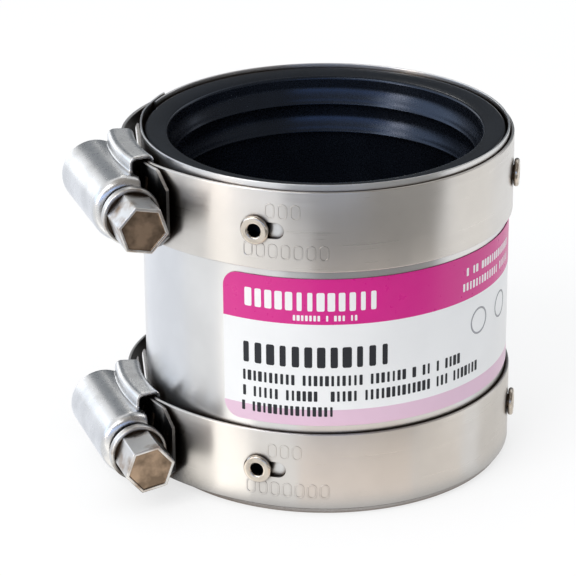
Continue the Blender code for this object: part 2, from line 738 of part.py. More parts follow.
def make_clamp(prefix, height, hex_angle, group, tools, finishes, parent):
    """A worm-drive clamp: band, housing, screw and two hollow rivets."""
    level = make_empty(prefix + "_level", tools, parent, Matrix.Translation((0.0, 0.0, height)))
    along_screw = Matrix.Translation((-SCREW_DISTANCE, 0.0, height)) @ Matrix.Rotation(math.pi / 2.0, 4, "X")
    pivot = make_empty(prefix + "_screw_axis", tools, parent, along_screw)
    make_band(prefix + "_band", height, group, tools, finishes["band"], parent)
    make_housing(prefix + "_housing", pivot, level, group, tools, finishes["plated"])
    make_screw(prefix + "_screw", hex_angle, pivot, group, tools, finishes["plated"])
    make_rivet(prefix + "_front_rivet", FRONT_RIVET_ANGLE, height, group, finishes["rivet"], parent)
    make_rivet(prefix + "_side_rivet", SIDE_RIVET_ANGLE, height, group, finishes["rivet"], parent)


def main():
    """Build the whole coupling."""
    clear_scene()
    group = new_collection("shielded_coupling")
    tools = new_collection("construction")
    finishes = {
        "rubber": finish("black_rubber", (0.012, 0.013, 0.016), 0.55, 0.0),
        "shield": finish("stainless_sheet", (0.62, 0.61, 0.59), 0.28, 1.0),
        "label": finish("printed_label", (0.86, 0.86, 0.86), 0.45, 0.0),
        "band": finish("bright_band", (0.66, 0.65, 0.63), 0.22, 1.0),
        "plated": finish("zinc_plate", (0.67, 0.69, 0.72), 0.32, 1.0),
        "rivet": finish("rivet_steel", (0.64, 0.62, 0.58), 0.35, 1.0),
    }
    axis = make_empty("pipe_axis", tools, None, Matrix.Translation((PIPE_AXIS_X, 0.0, 0.0)))
    make_sleeve(group, tools, finishes["rubber"], axis)
    make_shield(group, tools, finishes["shield"], axis)
    make_label(group, tools, finishes["label"], axis)
    make_clamp("upper", UPPER_CLAMP_HEIGHT, UPPER_HEX_ANGLE, group, tools, finishes, axis)
    make_clamp("lower", LOWER_CLAMP_HEIGHT, LOWER_HEX_ANGLE, group, tools, finishes, axis)


main()
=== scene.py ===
"""The looks of a shielded coupling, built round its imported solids.

Each piece is made by its own operator, in metres, in the frame of the solids:
the pipe's axis is vertical and the clamp housings are on the -X side.
"""

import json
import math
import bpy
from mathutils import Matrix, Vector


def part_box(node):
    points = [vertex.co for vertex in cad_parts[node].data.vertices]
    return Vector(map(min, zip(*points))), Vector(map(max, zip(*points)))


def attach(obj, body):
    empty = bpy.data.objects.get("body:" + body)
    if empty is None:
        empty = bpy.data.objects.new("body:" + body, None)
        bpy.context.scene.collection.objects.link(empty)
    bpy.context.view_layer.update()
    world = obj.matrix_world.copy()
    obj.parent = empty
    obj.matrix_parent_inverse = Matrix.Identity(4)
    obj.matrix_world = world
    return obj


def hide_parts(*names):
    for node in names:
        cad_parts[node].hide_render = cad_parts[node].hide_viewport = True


bl_info = {
    "name": "Shielded Coupling",
    "version": (1, 0, 0),
    "blender": (4, 5, 0),
    "location": "View3D > Sidebar > Coupling",
    "description": "Builds the finished pieces of a shielded pipe coupling and its studio",
    "category": "Add Mesh",
}

import bmesh
import bpy
import numpy as np
from bpy.props import FloatProperty, FloatVectorProperty, IntProperty, PointerProperty
from mathutils import Matrix, Vector

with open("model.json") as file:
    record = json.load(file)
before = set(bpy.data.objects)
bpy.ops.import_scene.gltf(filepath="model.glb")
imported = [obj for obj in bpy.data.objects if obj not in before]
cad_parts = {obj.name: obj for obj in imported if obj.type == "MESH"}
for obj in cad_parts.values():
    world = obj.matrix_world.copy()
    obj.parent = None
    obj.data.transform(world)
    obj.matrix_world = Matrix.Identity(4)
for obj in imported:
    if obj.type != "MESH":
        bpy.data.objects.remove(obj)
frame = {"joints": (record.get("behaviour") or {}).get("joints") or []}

MM = 0.001
FULL_TURN = 2.0 * math.pi
BODY = "coupling"
CLAMPS = ("upper", "lower")
SMOOTH_ANGLE = 40.0
WHITE = (1.0, 1.0, 1.0)
SAME_SPOT = 0.0002 * MM
TURN_MERGE = 0.001 * MM


def frame_middle(node):
    """The middle of a solid's box."""
    low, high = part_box(node)
    return (low + high) / 2.0


def joint_of(clamp):
    """The record's joint for one clamp's screw."""
    return next(joint for joint in frame["joints"] if joint["child"] == clamp + "_screw")


SHIELD_LOW, SHIELD_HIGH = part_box("shield")
SLEEVE_LOW, SLEEVE_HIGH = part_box("rubber_sleeve")
LABEL_LOW, LABEL_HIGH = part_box("label")
BAND_LOW, BAND_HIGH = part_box("upper_band")
AXIS_X = frame_middle("rubber_sleeve").x
CLAMP_HEIGHTS = {clamp: joint_of(clamp)["pos_m"][2] for clamp in CLAMPS}
SLEEVE_RADIUS = SLEEVE_HIGH.x - AXIS_X
BAND_OUTER = BAND_HIGH.x - AXIS_X


class CouplingSizes(bpy.types.PropertyGroup):
    """Sizes of the coupling's pieces."""

    bore_radius: FloatProperty(
        name="Bore Radius", description="Radius of the sleeve's bore at its lips", default=24.7 * MM,
        unit="LENGTH",
    )
    rib_height: FloatProperty(
        name="Rib Height", description="How far each sealing rib stands into the bore", default=0.95 * MM,
        unit="LENGTH",
    )
    rib_pitch: FloatProperty(
        name="Rib Pitch", description="Distance between sealing ribs", default=4.8 * MM, unit="LENGTH"
    )
    shield_sheet: FloatProperty(
        name="Shield Sheet", description="Thickness of the shield's sheet", default=0.3 * MM, unit="LENGTH"
    )
    band_sheet: FloatProperty(
        name="Band Sheet", description="Thickness of a clamp band", default=0.55 * MM, unit="LENGTH"
    )
    slot_pitch: FloatProperty(
        name="Slot Pitch", description="Distance between the tail's slots", default=3.2 * MM, unit="LENGTH"
    )
    slot_count: IntProperty(name="Slot Count", description="Slots in each band's tail", default=25, min=1)
    hexagon_flats: FloatProperty(
        name="Hexagon Flats", description="Size of a hexagon head across its flats", default=7.0 * MM,
        unit="LENGTH",
    )


class CouplingFinishes(bpy.types.PropertyGroup):
    """Colours of the coupling's finishes."""

    rubber: FloatVectorProperty(
        name="Rubber", description="Colour of the sleeve", subtype="COLOR", default=(0.0022, 0.0028, 0.0045)
    )
    sheet: FloatVectorProperty(
        name="Sheet", description="Colour of the shield", subtype="COLOR", default=(0.69, 0.695, 0.70)
    )
    band: FloatVectorProperty(
        name="Band", description="Colour of the clamp bands", subtype="COLOR", default=(0.66, 0.64, 0.615)
    )
    plate: FloatVectorProperty(
        name="Plate", description="Colour of the plated housings and screws", subtype="COLOR",
        default=(0.68, 0.685, 0.69),
    )
    screw: FloatVectorProperty(
        name="Screw", description="Colour of the worn plate on the screws", subtype="COLOR",
        default=(0.64, 0.635, 0.625),
    )
    rivet: FloatVectorProperty(
        name="Rivet", description="Colour of the hollow rivets", subtype="COLOR", default=(0.62, 0.565, 0.50)
    )
    stain: FloatVectorProperty(
        name="Stain", description="Colour of the stained face of each hexagon", subtype="COLOR",
        default=(0.29, 0.212, 0.15),
    )
    magenta: FloatVectorProperty(
        name="Magenta", description="Colour of the label's upper field", subtype="COLOR",
        default=(0.64, 0.012, 0.25),
    )
    pink: FloatVectorProperty(
        name="Pink", description="Colour of the label's lower field", subtype="COLOR",
        default=(0.735, 0.515, 0.66),
    )
    ink: FloatVectorProperty(
        name="Ink", description="Colour of the label's dark print", subtype="COLOR",
        default=(0.022, 0.024, 0.03),
    )


def sizes():
    """The sizes set in this scene."""
    return bpy.context.scene.coupling_sizes


def finishes():
    """The colours set in this scene."""
    return bpy.context.scene.coupling_finishes


# Forms that the finished pieces share with the solids.
SHEET_GAP = 0.15 * MM
SHIELD_OUTER = 28.9 * MM
BAND_INNER = SHIELD_OUTER + SHEET_GAP
LAP_WIDTH = 4.6 * MM
LAP_GAP = 0.25 * MM
LAP_SPRING = 0.15 * MM
LAP_ANGLE = math.radians(132.0)
LAP_EASE_ANGLE = math.radians(36.0)
HOUSING_ANGLE = math.pi
FIXED_END_REACH = 3.6 * MM
FIXED_SETTLE_START = math.radians(192.0)
FIXED_SETTLE_END = math.radians(230.0)
TAIL_RISE_START = math.radians(112.0)
TAIL_RISE_END = math.radians(166.0)
TAIL_REACH = 12.6 * MM
TAIL_SPRING = 0.3 * MM
RIVET_HOLE = 1.3 * MM
TAIL_CHAMFER_LENGTH = 3.0 * MM
TAIL_CHAMFER_HEIGHT = 2.6 * MM
SADDLE_UNDER = SHIELD_OUTER + 1.05 * MM
SADDLE_SHEET = 0.65 * MM
FRONT_RIVET_ANGLE = math.radians(229.7)
SIDE_RIVET_ANGLE = math.radians(333.0)
FLANGE_BACK = 10.3 * MM


def fixed_inner():
    """Inner radius of a band's fixed end, on the saddle's floor."""
    return SADDLE_UNDER + SADDLE_SHEET + SHEET_GAP


def tail_inner():
    """Inner radius of a band's tail, on its fixed end."""
    return fixed_inner() + sizes().band_sheet + SHEET_GAP


def tail_outer():
    """Outer radius of a band's tail in the housing."""
    return tail_inner() + sizes().band_sheet


def link(thing):
    """Put an object in the scene."""
    bpy.context.scene.collection.objects.link(thing)
    return thing


def mesh_object(name, bm):
    """Turn a bmesh into an object in the scene."""
    mesh = bpy.data.meshes.new(name)
    bm.to_mesh(mesh)
    bm.free()
    return link(bpy.data.objects.new(name, mesh))


def applied(thing):
    """Bake an object's modifiers and place into its mesh."""
    bpy.context.view_layer.update()
    graph = bpy.context.evaluated_depsgraph_get()
    mesh = bpy.data.meshes.new_from_object(thing.evaluated_get(graph))
    mesh.transform(thing.matrix_world)
    name = thing.name
    bpy.data.objects.remove(thing, do_unlink=True)
    mesh.name = name
    return link(bpy.data.objects.new(name, mesh))


def smooth(thing, angle=SMOOTH_ANGLE):
    """Smooth shading that keeps the real edges sharp."""
    thing.data.shade_smooth()
    thing.data.set_sharp_from_angle(angle=math.radians(angle))
    return thing


def set_material(thing, *materials):
    """Give a piece its materials."""
    thing.data.materials.clear()
    for material in materials:
        thing.data.materials.append(material)


def seat(thing, body, slot, *nodes):
    """Make a finished piece ride on a body and stand for its solids."""
    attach(thing, body)
    if nodes:
        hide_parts(*nodes)


def ease(share):
    """Rise smoothly from 0 to 1 while share goes from 0 to 1."""
    share = min(max(share, 0.0), 1.0)
    return math.sin(share * math.pi / 2.0) ** 2


def arc(centre, radius, start, end, steps):
    """Points of an arc, both ends included."""
    points = []
    for step in range(steps + 1):
        angle = start + (end - start) * step / steps
        points.append((centre[0] + radius * math.cos(angle), centre[1] + radius * math.sin(angle)))
    return points


def rounded_rectangle(low, high, radius, steps):
    """Outline of a rectangle with round corners, anticlockwise."""
    turn = math.pi / 2.0
    centres = (
        (high[0] - radius, low[1] + radius),
        (high[0] - radius, high[1] - radius),
        (low[0] + radius, high[1] - radius),
        (low[0] + radius, low[1] + radius),
    )
    points = []
    for corner, centre in enumerate(centres):
        points += arc(centre, radius, (corner - 1) * turn, corner * turn, steps)
    return points


def turned(name, profile, steps, closed=True):
    """A body of revolution about Z from a profile that runs down its outer side."""
    bm = bmesh.new()
    points = [bm.verts.new((radius, 0.0, height)) for radius, height in profile]
    for first, second in zip(points, points[1:]):
        bm.edges.new((first, second))
    if closed:
        bm.edges.new((points[-1], points[0]))
    thing = mesh_object(name, bm)
    turn = thing.modifiers.new("Turn", "SCREW")
    turn.steps = steps
    turn.render_steps = steps
    turn.use_merge_vertices = True
    turn.merge_threshold = TURN_MERGE
    return applied(thing)


def polar(radius, angle, height):
    """A point round the pipe's axis."""
    return Vector((AXIS_X + radius * math.cos(angle), radius * math.sin(angle), height))


def skin(bm, rows, closed=True):
    """Faces between each row of vertices and the next, as one list for each pair of rows."""
    bands = []
    for row, following in zip(rows, rows[1:]):
        band = []
        for number in range(len(row) if closed else len(row) - 1):
            neighbour = (number + 1) % len(row)
            corners = (row[number], row[neighbour], following[neighbour], following[number])
            band.append(bm.faces.new(corners))
        bands.append(band)
    return bands


def tube(bm, rows):
    """Skin rows of vertices into a closed tube with flat ends, its faces outwards."""
    skin(bm, rows)
    bm.faces.new(rows[0])
    bm.faces.new(rows[-1])
    bmesh.ops.recalc_face_normals(bm, faces=bm.faces)


def swept(name, rings, arcs):
    """Skin a row of matching rings of (radius, angle, height) points.

    The piece's UV map holds the height and the length along the sweep, so that
    a brushed finish can follow the sheet.
    """
    bm = bmesh.new()
    uv_layer = bm.loops.layers.uv.new("sheet")
    rows = []
    spots = {}
    for ring, along in zip(rings, arcs):
        row = [bm.verts.new(polar(*point)) for point in ring]
        spots.update((vert, (point[2], along)) for vert, point in zip(row, ring))
        rows.append(row)
    tube(bm, rows)
    for face in bm.faces:
        for loop in face.loops:
            loop[uv_layer].uv = spots[loop.vert]
    return mesh_object(name, bm)


def cut(thing, tool, operation="DIFFERENCE"):
    """Cut or join a piece with another, which is used up."""
    step = thing.modifiers.new(operation.title(), "BOOLEAN")
    step.operation = operation
    step.solver = "EXACT"
    step.object = tool
    result = applied(thing)
    bpy.data.objects.remove(tool, do_unlink=True)
    return result


def merged(thing, *others):
    """Put several closed forms into one piece, which keeps the first one's materials."""
    bm = bmesh.new()
    for form in (thing, *others):
        bm.from_mesh(form.data)
    bm.to_mesh(thing.data)
    bm.free()
    for form in others:
        bpy.data.objects.remove(form, do_unlink=True)
    return thing


def joined(thing, others):
    """Join finished meshes to a piece, each keeping its own materials."""
    with bpy.context.temp_override(active_object=thing, selected_editable_objects=[thing, *others]):
        bpy.ops.object.join()
    return thing


def box_between(name, low, high):
    """A box between two corners."""
    bm = bmesh.new()
    middle = [(a + b) / 2.0 for a, b in zip(low, high)]
    size = [b - a for a, b in zip(low, high)]
    spot = Matrix.Translation(middle) @ Matrix.Diagonal((*size, 1.0))
    bmesh.ops.create_cube(bm, size=1.0, matrix=spot)
    return mesh_object(name, bm)


def outward_frame(angle, height):
    """A frame on the pipe's axis whose Z points out at an angle."""
    turn = Matrix.Rotation(angle, 4, "Z") @ Matrix.Rotation(math.pi / 2.0, 4, "Y")
    return Matrix.Translation((AXIS_X, 0.0, height)) @ turn


def screw_frame(clamp):
    """A frame on a screw's axis whose Z points at its head."""
    spot = Vector(joint_of(clamp)["pos_m"])
    return Matrix.Translation(spot) @ Matrix.Rotation(math.pi / 2.0, 4, "X")


# Node trees.

SOCKET_KINDS = {int: "Int", float: "Float", 3: "Vector", 4: "Color", bpy.types.Material: "Material"}
MIX_COLOURS = (6, 7)


def fill(tree, node, key, value):
    """Set one input of a node, or link a socket to it."""
    if isinstance(value, bpy.types.NodeSocket):
        tree.links.new(value, node.inputs[key])
    else:
        node.inputs[key].default_value = value


def put(tree, kind, *ordered, settings=None, **named):
    """Add a node with its settings, and set or link its inputs, in order or by name."""
    node = tree.nodes.new(kind)
    for setting, value in (settings or {}).items():
        setattr(node, setting, value)
    for number, value in enumerate(ordered):
        fill(tree, node, number, value)
    for name, value in named.items():
        fill(tree, node, name.replace("_", " "), value)
    return node


def math_node(tree, operation, first, second):
    """A math node's result."""
    return put(tree, "ShaderNodeMath", first, second, settings={"operation": operation}).outputs[0]


def vector_math(tree, operation, *vectors):
    """A vector math node's result."""
    return put(tree, "ShaderNodeVectorMath", *vectors, settings={"operation": operation}).outputs[0]


def map_range(tree, value, low, high, to_low=0.0, to_high=1.0):
    """A value moved from one range to another."""
    return put(tree, "ShaderNodeMapRange", value, low, high, to_low, to_high).outputs[0]


def mixed_colour(tree, share, first, second):
    """A mix of two colours."""
    node = put(tree, "ShaderNodeMix", share, settings={"data_type": "RGBA"})
    for key, value in zip(MIX_COLOURS, (first, second)):
        fill(tree, node, key, value)
    return node.outputs[2]


def mixed_shader(tree, share, first, second):
    """A mix of two shaders."""
    return put(tree, "ShaderNodeMixShader", share, first.outputs[0], second.outputs[0])


def new_tree(family, name, values, results):
    """A node tree with an input for each named value, and an output for each named kind of result."""
    tree = bpy.data.node_groups.new(name, family)
    for label, value in values.items():
        kind = SOCKET_KINDS[len(value) if isinstance(value, tuple) else type(value)]
        socket = tree.interface.new_socket(label, in_out="INPUT", socket_type="NodeSocket" + kind)
        socket.default_value = value
    for label, kind in results.items():
        tree.interface.new_socket(label, in_out="OUTPUT", socket_type="NodeSocket" + kind)
    return tree, tree.nodes.new("NodeGroupInput").outputs, tree.nodes.new("NodeGroupOutput").inputs


def tree_from(make, *values):
    """The node tree that a function makes, under the function's own name, made only once."""
    name = make.__name__.replace("_", " ")
    return bpy.data.node_groups.get(name) or make(name, *values)


# Shader node groups and materials.

AIR_SAMPLES = 8
GRAIN_NOISE = {"Detail": 4.0, "Roughness": 0.6}
GRAIN_RANGE = (0.3, 0.7)
GRAIN_DEPTH = 0.01 * MM
CLOUD_NOISE = {"Detail": 3.0, "Roughness": 0.55}
CLOUD_RANGE = (0.4, 0.65)
WAVE_STRETCH = (260.0, 260.0, 18.0)
WAVE_DEPTH = 0.03 * MM
SHEET_SHADE = 0.93
SHEET_CLOUDS = 90.0
PLATE_GRAIN = 1300.0
PLATE_RELIEF = 0.02
RUBBER_GRAIN = 2600.0
RUBBER_DEPTH = 0.02 * MM
RUBBER_SPREAD = 0.08
RUBBER_SHADE = 1.7
RUBBER_CLOUDS = 150.0
PRINT_GRAIN = 700.0
PRINT_SPREAD = 0.1
FILM_RELIEF = 0.03
PRINT_SHADE = 0.975
PRINT_CLOUDS = 120.0

# Layers of painted shade, which darken crevices by ambient occlusion: a colour, how far off a wall
# shelters it, and the open shares of air where it is full and where it ends.
PAINTED_SHADE = (0.030, 0.029, 0.030, 1.0)
# The edge layer is a brownish painted shade along edges and in narrow gaps, such as the rim above a band.
PAINTED_EDGE_SHADE = (0.14, 0.10, 0.07, 1.0)
SHEET_EDGE_PAINTED_SHADE = (PAINTED_EDGE_SHADE, 1.6 * MM, 0.40, 0.72)
PLATE_EDGE_PAINTED_SHADE = (PAINTED_EDGE_SHADE, 1.3 * MM, 0.25, 0.62)
BAND_PAINTED_SHADE = (PAINTED_SHADE, 8.0 * MM, 0.25, 0.70)
TAIL_PAINTED_SHADE = (PAINTED_SHADE, 12.0 * MM, 0.60, 0.97)
SHIELD_PAINTED_SHADE = (PAINTED_SHADE, 2.5 * MM, 0.12, 0.50)
PLATE_PAINTED_SHADE = (PAINTED_SHADE, 3.0 * MM, 0.15, 0.6)
SCREW_PAINTED_SHADE = (PAINTED_SHADE, 12.0 * MM, 0.32, 0.84)
STAIN_PAINTED_SHADE = (PAINTED_SHADE, 1.0 * MM, 0.35, 0.85)

STRIP_FINISH = {
    "smooth_side": 0.27, "rough_side": 0.36, "spread": 0.75,
    "stretch": (60.0, 60.0, 5200.0), "relief": 0.1, "waviness": 0.45,
}
SHIELD_FINISH = {
    "smooth_side": 0.28, "rough_side": 0.285, "spread": 0.55,
    "stretch": (40.0, 40.0, 4200.0), "relief": 0.005, "waviness": 0.05,
}


def directional_grain(name):
    """Fine directional grain: a roughness and a bumped normal."""
    tree, given, result = new_tree(
        "ShaderNodeTree",
        name,
        {
            "Stretch": (1.0, 1.0, 1.0), "Scale": 1000.0, "Relief": 0.1, "Depth": GRAIN_DEPTH,
            "Smooth": 0.25, "Rough": 0.35,
        },
        {"Roughness": "Float", "Normal": "Vector"},
    )
    place = tree.nodes.new("ShaderNodeTexCoord").outputs["Object"]
    stretched = vector_math(tree, "MULTIPLY", place, given["Stretch"])
    noise = put(tree, "ShaderNodeTexNoise", Vector=stretched, Scale=given["Scale"], **GRAIN_NOISE)
    fine = noise.outputs["Fac"]
    bump = put(tree, "ShaderNodeBump", Strength=given["Relief"], Distance=given["Depth"], Height=fine)
    rough = map_range(tree, fine, *GRAIN_RANGE, given["Smooth"], given["Rough"])
    tree.links.new(rough, result["Roughness"])
    tree.links.new(bump.outputs["Normal"], result["Normal"])
    return tree


def soft_clouds(name):
    """Broad soft clouds that vary a colour between two shades."""
    low, high = CLOUD_RANGE
    tree, given, result = new_tree(
        "ShaderNodeTree",
        name,
        {"Colour": shaded(WHITE, 0.5), "Shade": shaded(WHITE, 0.4), "Scale": 200.0, "Low": low, "High": high},
        {"Colour": "Color"},
    )
    place = tree.nodes.new("ShaderNodeTexCoord").outputs["Object"]
    noise = put(tree, "ShaderNodeTexNoise", Vector=place, Scale=given["Scale"], **CLOUD_NOISE)
    mask = map_range(tree, noise.outputs["Fac"], given["Low"], given["High"])
    tree.links.new(mixed_colour(tree, mask, given["Colour"], given["Shade"]), result["Colour"])
    return tree


def crevices(name):
    """Where a surface lies open to the air: 1 outside, falling to 0 in crevices."""
    tree, given, result = new_tree(
        "ShaderNodeTree", name, {"Reach": 6.0 * MM, "Closed": 0.1, "Open": 0.7}, {"Open": "Float"}
    )
    air = put(tree, "ShaderNodeAmbientOcclusion", settings={"samples": AIR_SAMPLES}, Distance=given["Reach"])
    tree.links.new(map_range(tree, air.outputs["AO"], given["Closed"], given["Open"]), result["Open"])
    return tree


def group_node(tree, make, **values):
    """Place a shader node group and set its inputs."""
    return put(tree, "ShaderNodeGroup", settings={"node_tree": tree_from(make)}, **values)


def new_material(name):
    """A material with its tree and its Principled shader."""
    material = bpy.data.materials.new(name)
    material.use_nodes = True
    tree = material.node_tree
    return material, tree, tree.nodes["Principled BSDF"]


def shaded(colour, factor=1.0):
    """A colour with its brightness changed, as RGBA."""
    return (*[channel * factor for channel in colour], 1.0)


def coated(name, colour, shade, cloud_scale, cloud_range=CLOUD_RANGE, **grain):
    """A material with a clouded colour and a fine grain, and its tree, shader and colour."""
    material, tree, shader = new_material(name)
    low, high = cloud_range
    clouds = group_node(tree, soft_clouds, Colour=colour, Shade=shade, Scale=cloud_scale, Low=low, High=high)
    texture = group_node(tree, directional_grain, **grain)
    fill(tree, shader, "Base Color", clouds.outputs["Colour"])
    fill(tree, shader, "Roughness", texture.outputs["Roughness"])
    fill(tree, shader, "Normal", texture.outputs["Normal"])
    return material, tree, shader


def soil(tree, shader, *layers):
    """Cover a metal shader's colour with layers of painted shade in its crevices, where ambient occlusion
    finds walls near.
    """
    fill(tree, shader, "Metallic", 1.0)
    colour = shader.inputs["Base Color"]
    for shade_colour, reach, closed, open_share in layers:
        air = group_node(tree, crevices, Reach=reach, Closed=closed, Open=open_share)
        unshaded = colour.links[0].from_socket
        tree.links.new(mixed_colour(tree, air.outputs["Open"], shade_colour, unshaded), colour)


def sheet_metal(name, colour, shade_layer, smooth_side, rough_side, spread, stretch, relief, waviness):
    """A rolled stainless sheet, brushed round the pipe's axis."""
    material, tree, shader = coated(
        name, shaded(colour), shaded(colour, SHEET_SHADE), SHEET_CLOUDS,
        Stretch=stretch, Scale=1.0, Relief=relief, Depth=GRAIN_DEPTH, Smooth=smooth_side, Rough=rough_side,
    )
    grain = shader.inputs["Normal"].links[0].from_socket
    waves = group_node(
        tree, directional_grain, Stretch=WAVE_STRETCH, Scale=1.0, Relief=waviness, Depth=WAVE_DEPTH
    )
    both = vector_math(tree, "ADD", grain, waves.outputs["Normal"])
    direction = put(tree, "ShaderNodeTangent", settings={"direction_type": "UV_MAP", "uv_map": "sheet"})
    fill(tree, shader, "Normal", vector_math(tree, "NORMALIZE", both))
    fill(tree, shader, "Tangent", direction.outputs["Tangent"])
    fill(tree, shader, "Anisotropic", spread)
    # Painted shade: the sheet's colour darkens where ambient occlusion finds walls close by.
    soil(tree, shader, shade_layer, SHEET_EDGE_PAINTED_SHADE)
    return material


def strip_metal(name, shade_layer):
    """The bright clamp strip, with its own layer of painted shade."""
    return sheet_metal(name, finishes().band, shade_layer, **STRIP_FINISH)


def plated(name, colour, patina, patina_scale, patina_range, smooth_side, rough_side, shade_layer=PLATE_PAINTED_SHADE):
    """A plated metal with patches of patina, with painted shade in its crevices."""
    material, tree, shader = coated(
        name, colour, patina, patina_scale, patina_range,
        Scale=PLATE_GRAIN, Relief=PLATE_RELIEF, Depth=GRAIN_DEPTH, Smooth=smooth_side, Rough=rough_side,
    )
    # Painted shade: the plate's colour darkens where ambient occlusion finds walls close by.
    soil(tree, shader, shade_layer, PLATE_EDGE_PAINTED_SHADE)
    return material


def housing_metal():
    """The bright zinc plate on the housings."""
    plate = finishes().plate
    return plated(
        "bright zinc plate", shaded(plate), shaded(plate, 0.82), patina_scale=210.0, patina_range=(0.45, 0.7),
        smooth_side=0.26, rough_side=0.31,
    )


def screw_metal():
    """The worn, slightly yellowed plate on the screws."""
    look = finishes()
    # The screw's painted shade reaches far, so it darkens wherever other parts lie near.
    return plated(
        "worn screw plate", shaded(look.screw), shaded(look.stain), patina_scale=330.0,
        patina_range=(0.47, 0.74), smooth_side=0.28, rough_side=0.4, shade_layer=SCREW_PAINTED_SHADE,
    )


def rivet_metal():
    """The warm bright metal of the hollow rivets."""
    metal = finishes().rivet
    return plated(
        "rivet metal", shaded(metal), shaded(metal, 0.75), patina_scale=500.0, patina_range=(0.45, 0.7),
        smooth_side=0.17, rough_side=0.28,
    )


def stained_metal():
    """The warm, stained plate in each hexagon's recess."""
    stain = finishes().stain
    # Painted shade darkens the stained face along the recess's walls.
    return plated(
        "stained plate", shaded(stain, 1.2), shaded(stain, 0.5), patina_scale=300.0, patina_range=(0.4, 0.62),
        smooth_side=0.34, rough_side=0.5, shade_layer=STAIN_PAINTED_SHADE,
    )


def rubber_material(name, relief, smooth_side, gloss, sheen):
    """Black moulded rubber."""
    rubber = finishes().rubber
    material, tree, shader = coated(
        name, shaded(rubber), shaded(rubber, RUBBER_SHADE), RUBBER_CLOUDS,
        Scale=RUBBER_GRAIN, Relief=relief, Depth=RUBBER_DEPTH, Smooth=smooth_side,
        Rough=smooth_side + RUBBER_SPREAD,
    )
    fill(tree, shader, "Specular IOR Level", gloss)
    fill(tree, shader, "Specular Tint", shaded(sheen))
    return material


def print_material(name, colour, roughness, gloss=0.5):
    """One printed colour of the label, under a clear film."""
    material, tree, shader = coated(
        name, shaded(colour), shaded(colour, PRINT_SHADE), PRINT_CLOUDS,
        Scale=PRINT_GRAIN, Relief=FILM_RELIEF, Depth=GRAIN_DEPTH, Smooth=roughness,
        Rough=roughness + PRINT_SPREAD,
    )
    fill(tree, shader, "Specular IOR Level", gloss)
    return material


# The rubber sleeve.

SLEEVE_STEPS = 288
LIP_SHEEN = (0.62, 0.78, 1.0)
BORE_SHEEN = (0.55, 0.70, 1.0)
LIP_DROP = 0.5 * MM
LIP_ROUND = 0.5 * MM
EDGE_ROUND = 0.6 * MM
RIB_COUNT = 2
RIB_FLANK = 2.5 * MM
RIB_HOLLOW = 1.35
RIB_CREST = 0.3 * MM
FIRST_RIB_DEPTH = 2.2 * MM
STOP_HEIGHT = 2.6 * MM
STOP_WIDTH = 3.0 * MM
STOP_ROUND = 0.5 * MM
LIP_STEPS = 5
RIB_ROUND_STEPS = 6
RIB_EDGE_STEPS = 3
STOP_STEPS = 4
RIB_EDGE = 0.25 * MM


def bore_half(length):
    """The bore from a lip to the middle of the stop, as (radius, depth below the lip)."""
    bore = sizes().bore_radius
    crest = bore - sizes().rib_height
    points = arc((bore + LIP_ROUND, LIP_DROP + LIP_ROUND), LIP_ROUND, -math.pi / 2.0, -math.pi, LIP_STEPS)
    for rib in range(RIB_COUNT):
        depth = FIRST_RIB_DEPTH + rib * sizes().rib_pitch
        for step in range(RIB_ROUND_STEPS):
            share = step / RIB_ROUND_STEPS
            points.append((bore - sizes().rib_height * share ** RIB_HOLLOW, depth + RIB_FLANK * share))
        centre = (crest + RIB_EDGE, depth + RIB_FLANK + RIB_EDGE)
        points += arc(centre, RIB_EDGE, -0.75 * math.pi, -math.pi, RIB_EDGE_STEPS)
        points.append((crest, depth + RIB_FLANK + RIB_CREST))
        points.append((bore, depth + RIB_FLANK + 2.0 * RIB_CREST))
    top = bore - STOP_HEIGHT
    start = length / 2.0 - STOP_WIDTH / 2.0
    points.append((bore, start - STOP_ROUND))
    points += arc((bore - STOP_ROUND, start - STOP_ROUND), STOP_ROUND, 0.0, math.pi / 2.0, STOP_STEPS)[1:]
    points += arc((top + STOP_ROUND, start + STOP_ROUND), STOP_ROUND, -math.pi / 2.0, -math.pi, STOP_STEPS)
    return points


def sleeve_profile():
    """The sleeve's whole section, down its outer side and up its bore."""
    low = SLEEVE_LOW.z
    high = SLEEVE_HIGH.z
    half = bore_half(high - low)
    outer = arc((SLEEVE_RADIUS - EDGE_ROUND, high - EDGE_ROUND), EDGE_ROUND, math.pi / 2.0, 0.0, LIP_STEPS)
    outer += arc((SLEEVE_RADIUS - EDGE_ROUND, low + EDGE_ROUND), EDGE_ROUND, 0.0, -math.pi / 2.0, LIP_STEPS)
    inner = [(radius, low + depth) for radius, depth in half]
    inner += [(radius, high - depth) for radius, depth in reversed(half)]
    return outer + inner


class COUPLING_OT_sleeve(bpy.types.Operator):
    """Build the ribbed rubber sleeve"""

    bl_idname = "coupling.sleeve"
    bl_label = "Rubber Sleeve"

    def execute(self, context):
        sleeve = turned("sleeve", sleeve_profile(), SLEEVE_STEPS)
        sleeve.data.transform(Matrix.Translation((AXIS_X, 0.0, 0.0)))
        smooth(sleeve)
        set_material(
            sleeve,
            rubber_material("moulded rubber", relief=0.0, smooth_side=0.13, gloss=0.16, sheen=LIP_SHEEN),
            rubber_material("moulded bore", relief=0.05, smooth_side=0.23, gloss=0.6, sheen=BORE_SHEEN),
        )
        for face in sleeve.data.polygons:
            middle = face.center
            bore_side = math.hypot(middle.x - AXIS_X, middle.y) < sizes().bore_radius + LIP_ROUND / 2.0
            face.material_index = int(bore_side)
        seat(sleeve, BODY, "black_rubber", "rubber_sleeve")
        return {"FINISHED"}


# The rolled shield.

SHIELD_STEPS = 360
SHIELD_EDGE = 0.12 * MM
SHIELD_EDGE_STEPS = 4
PUNCH_STEPS = 32


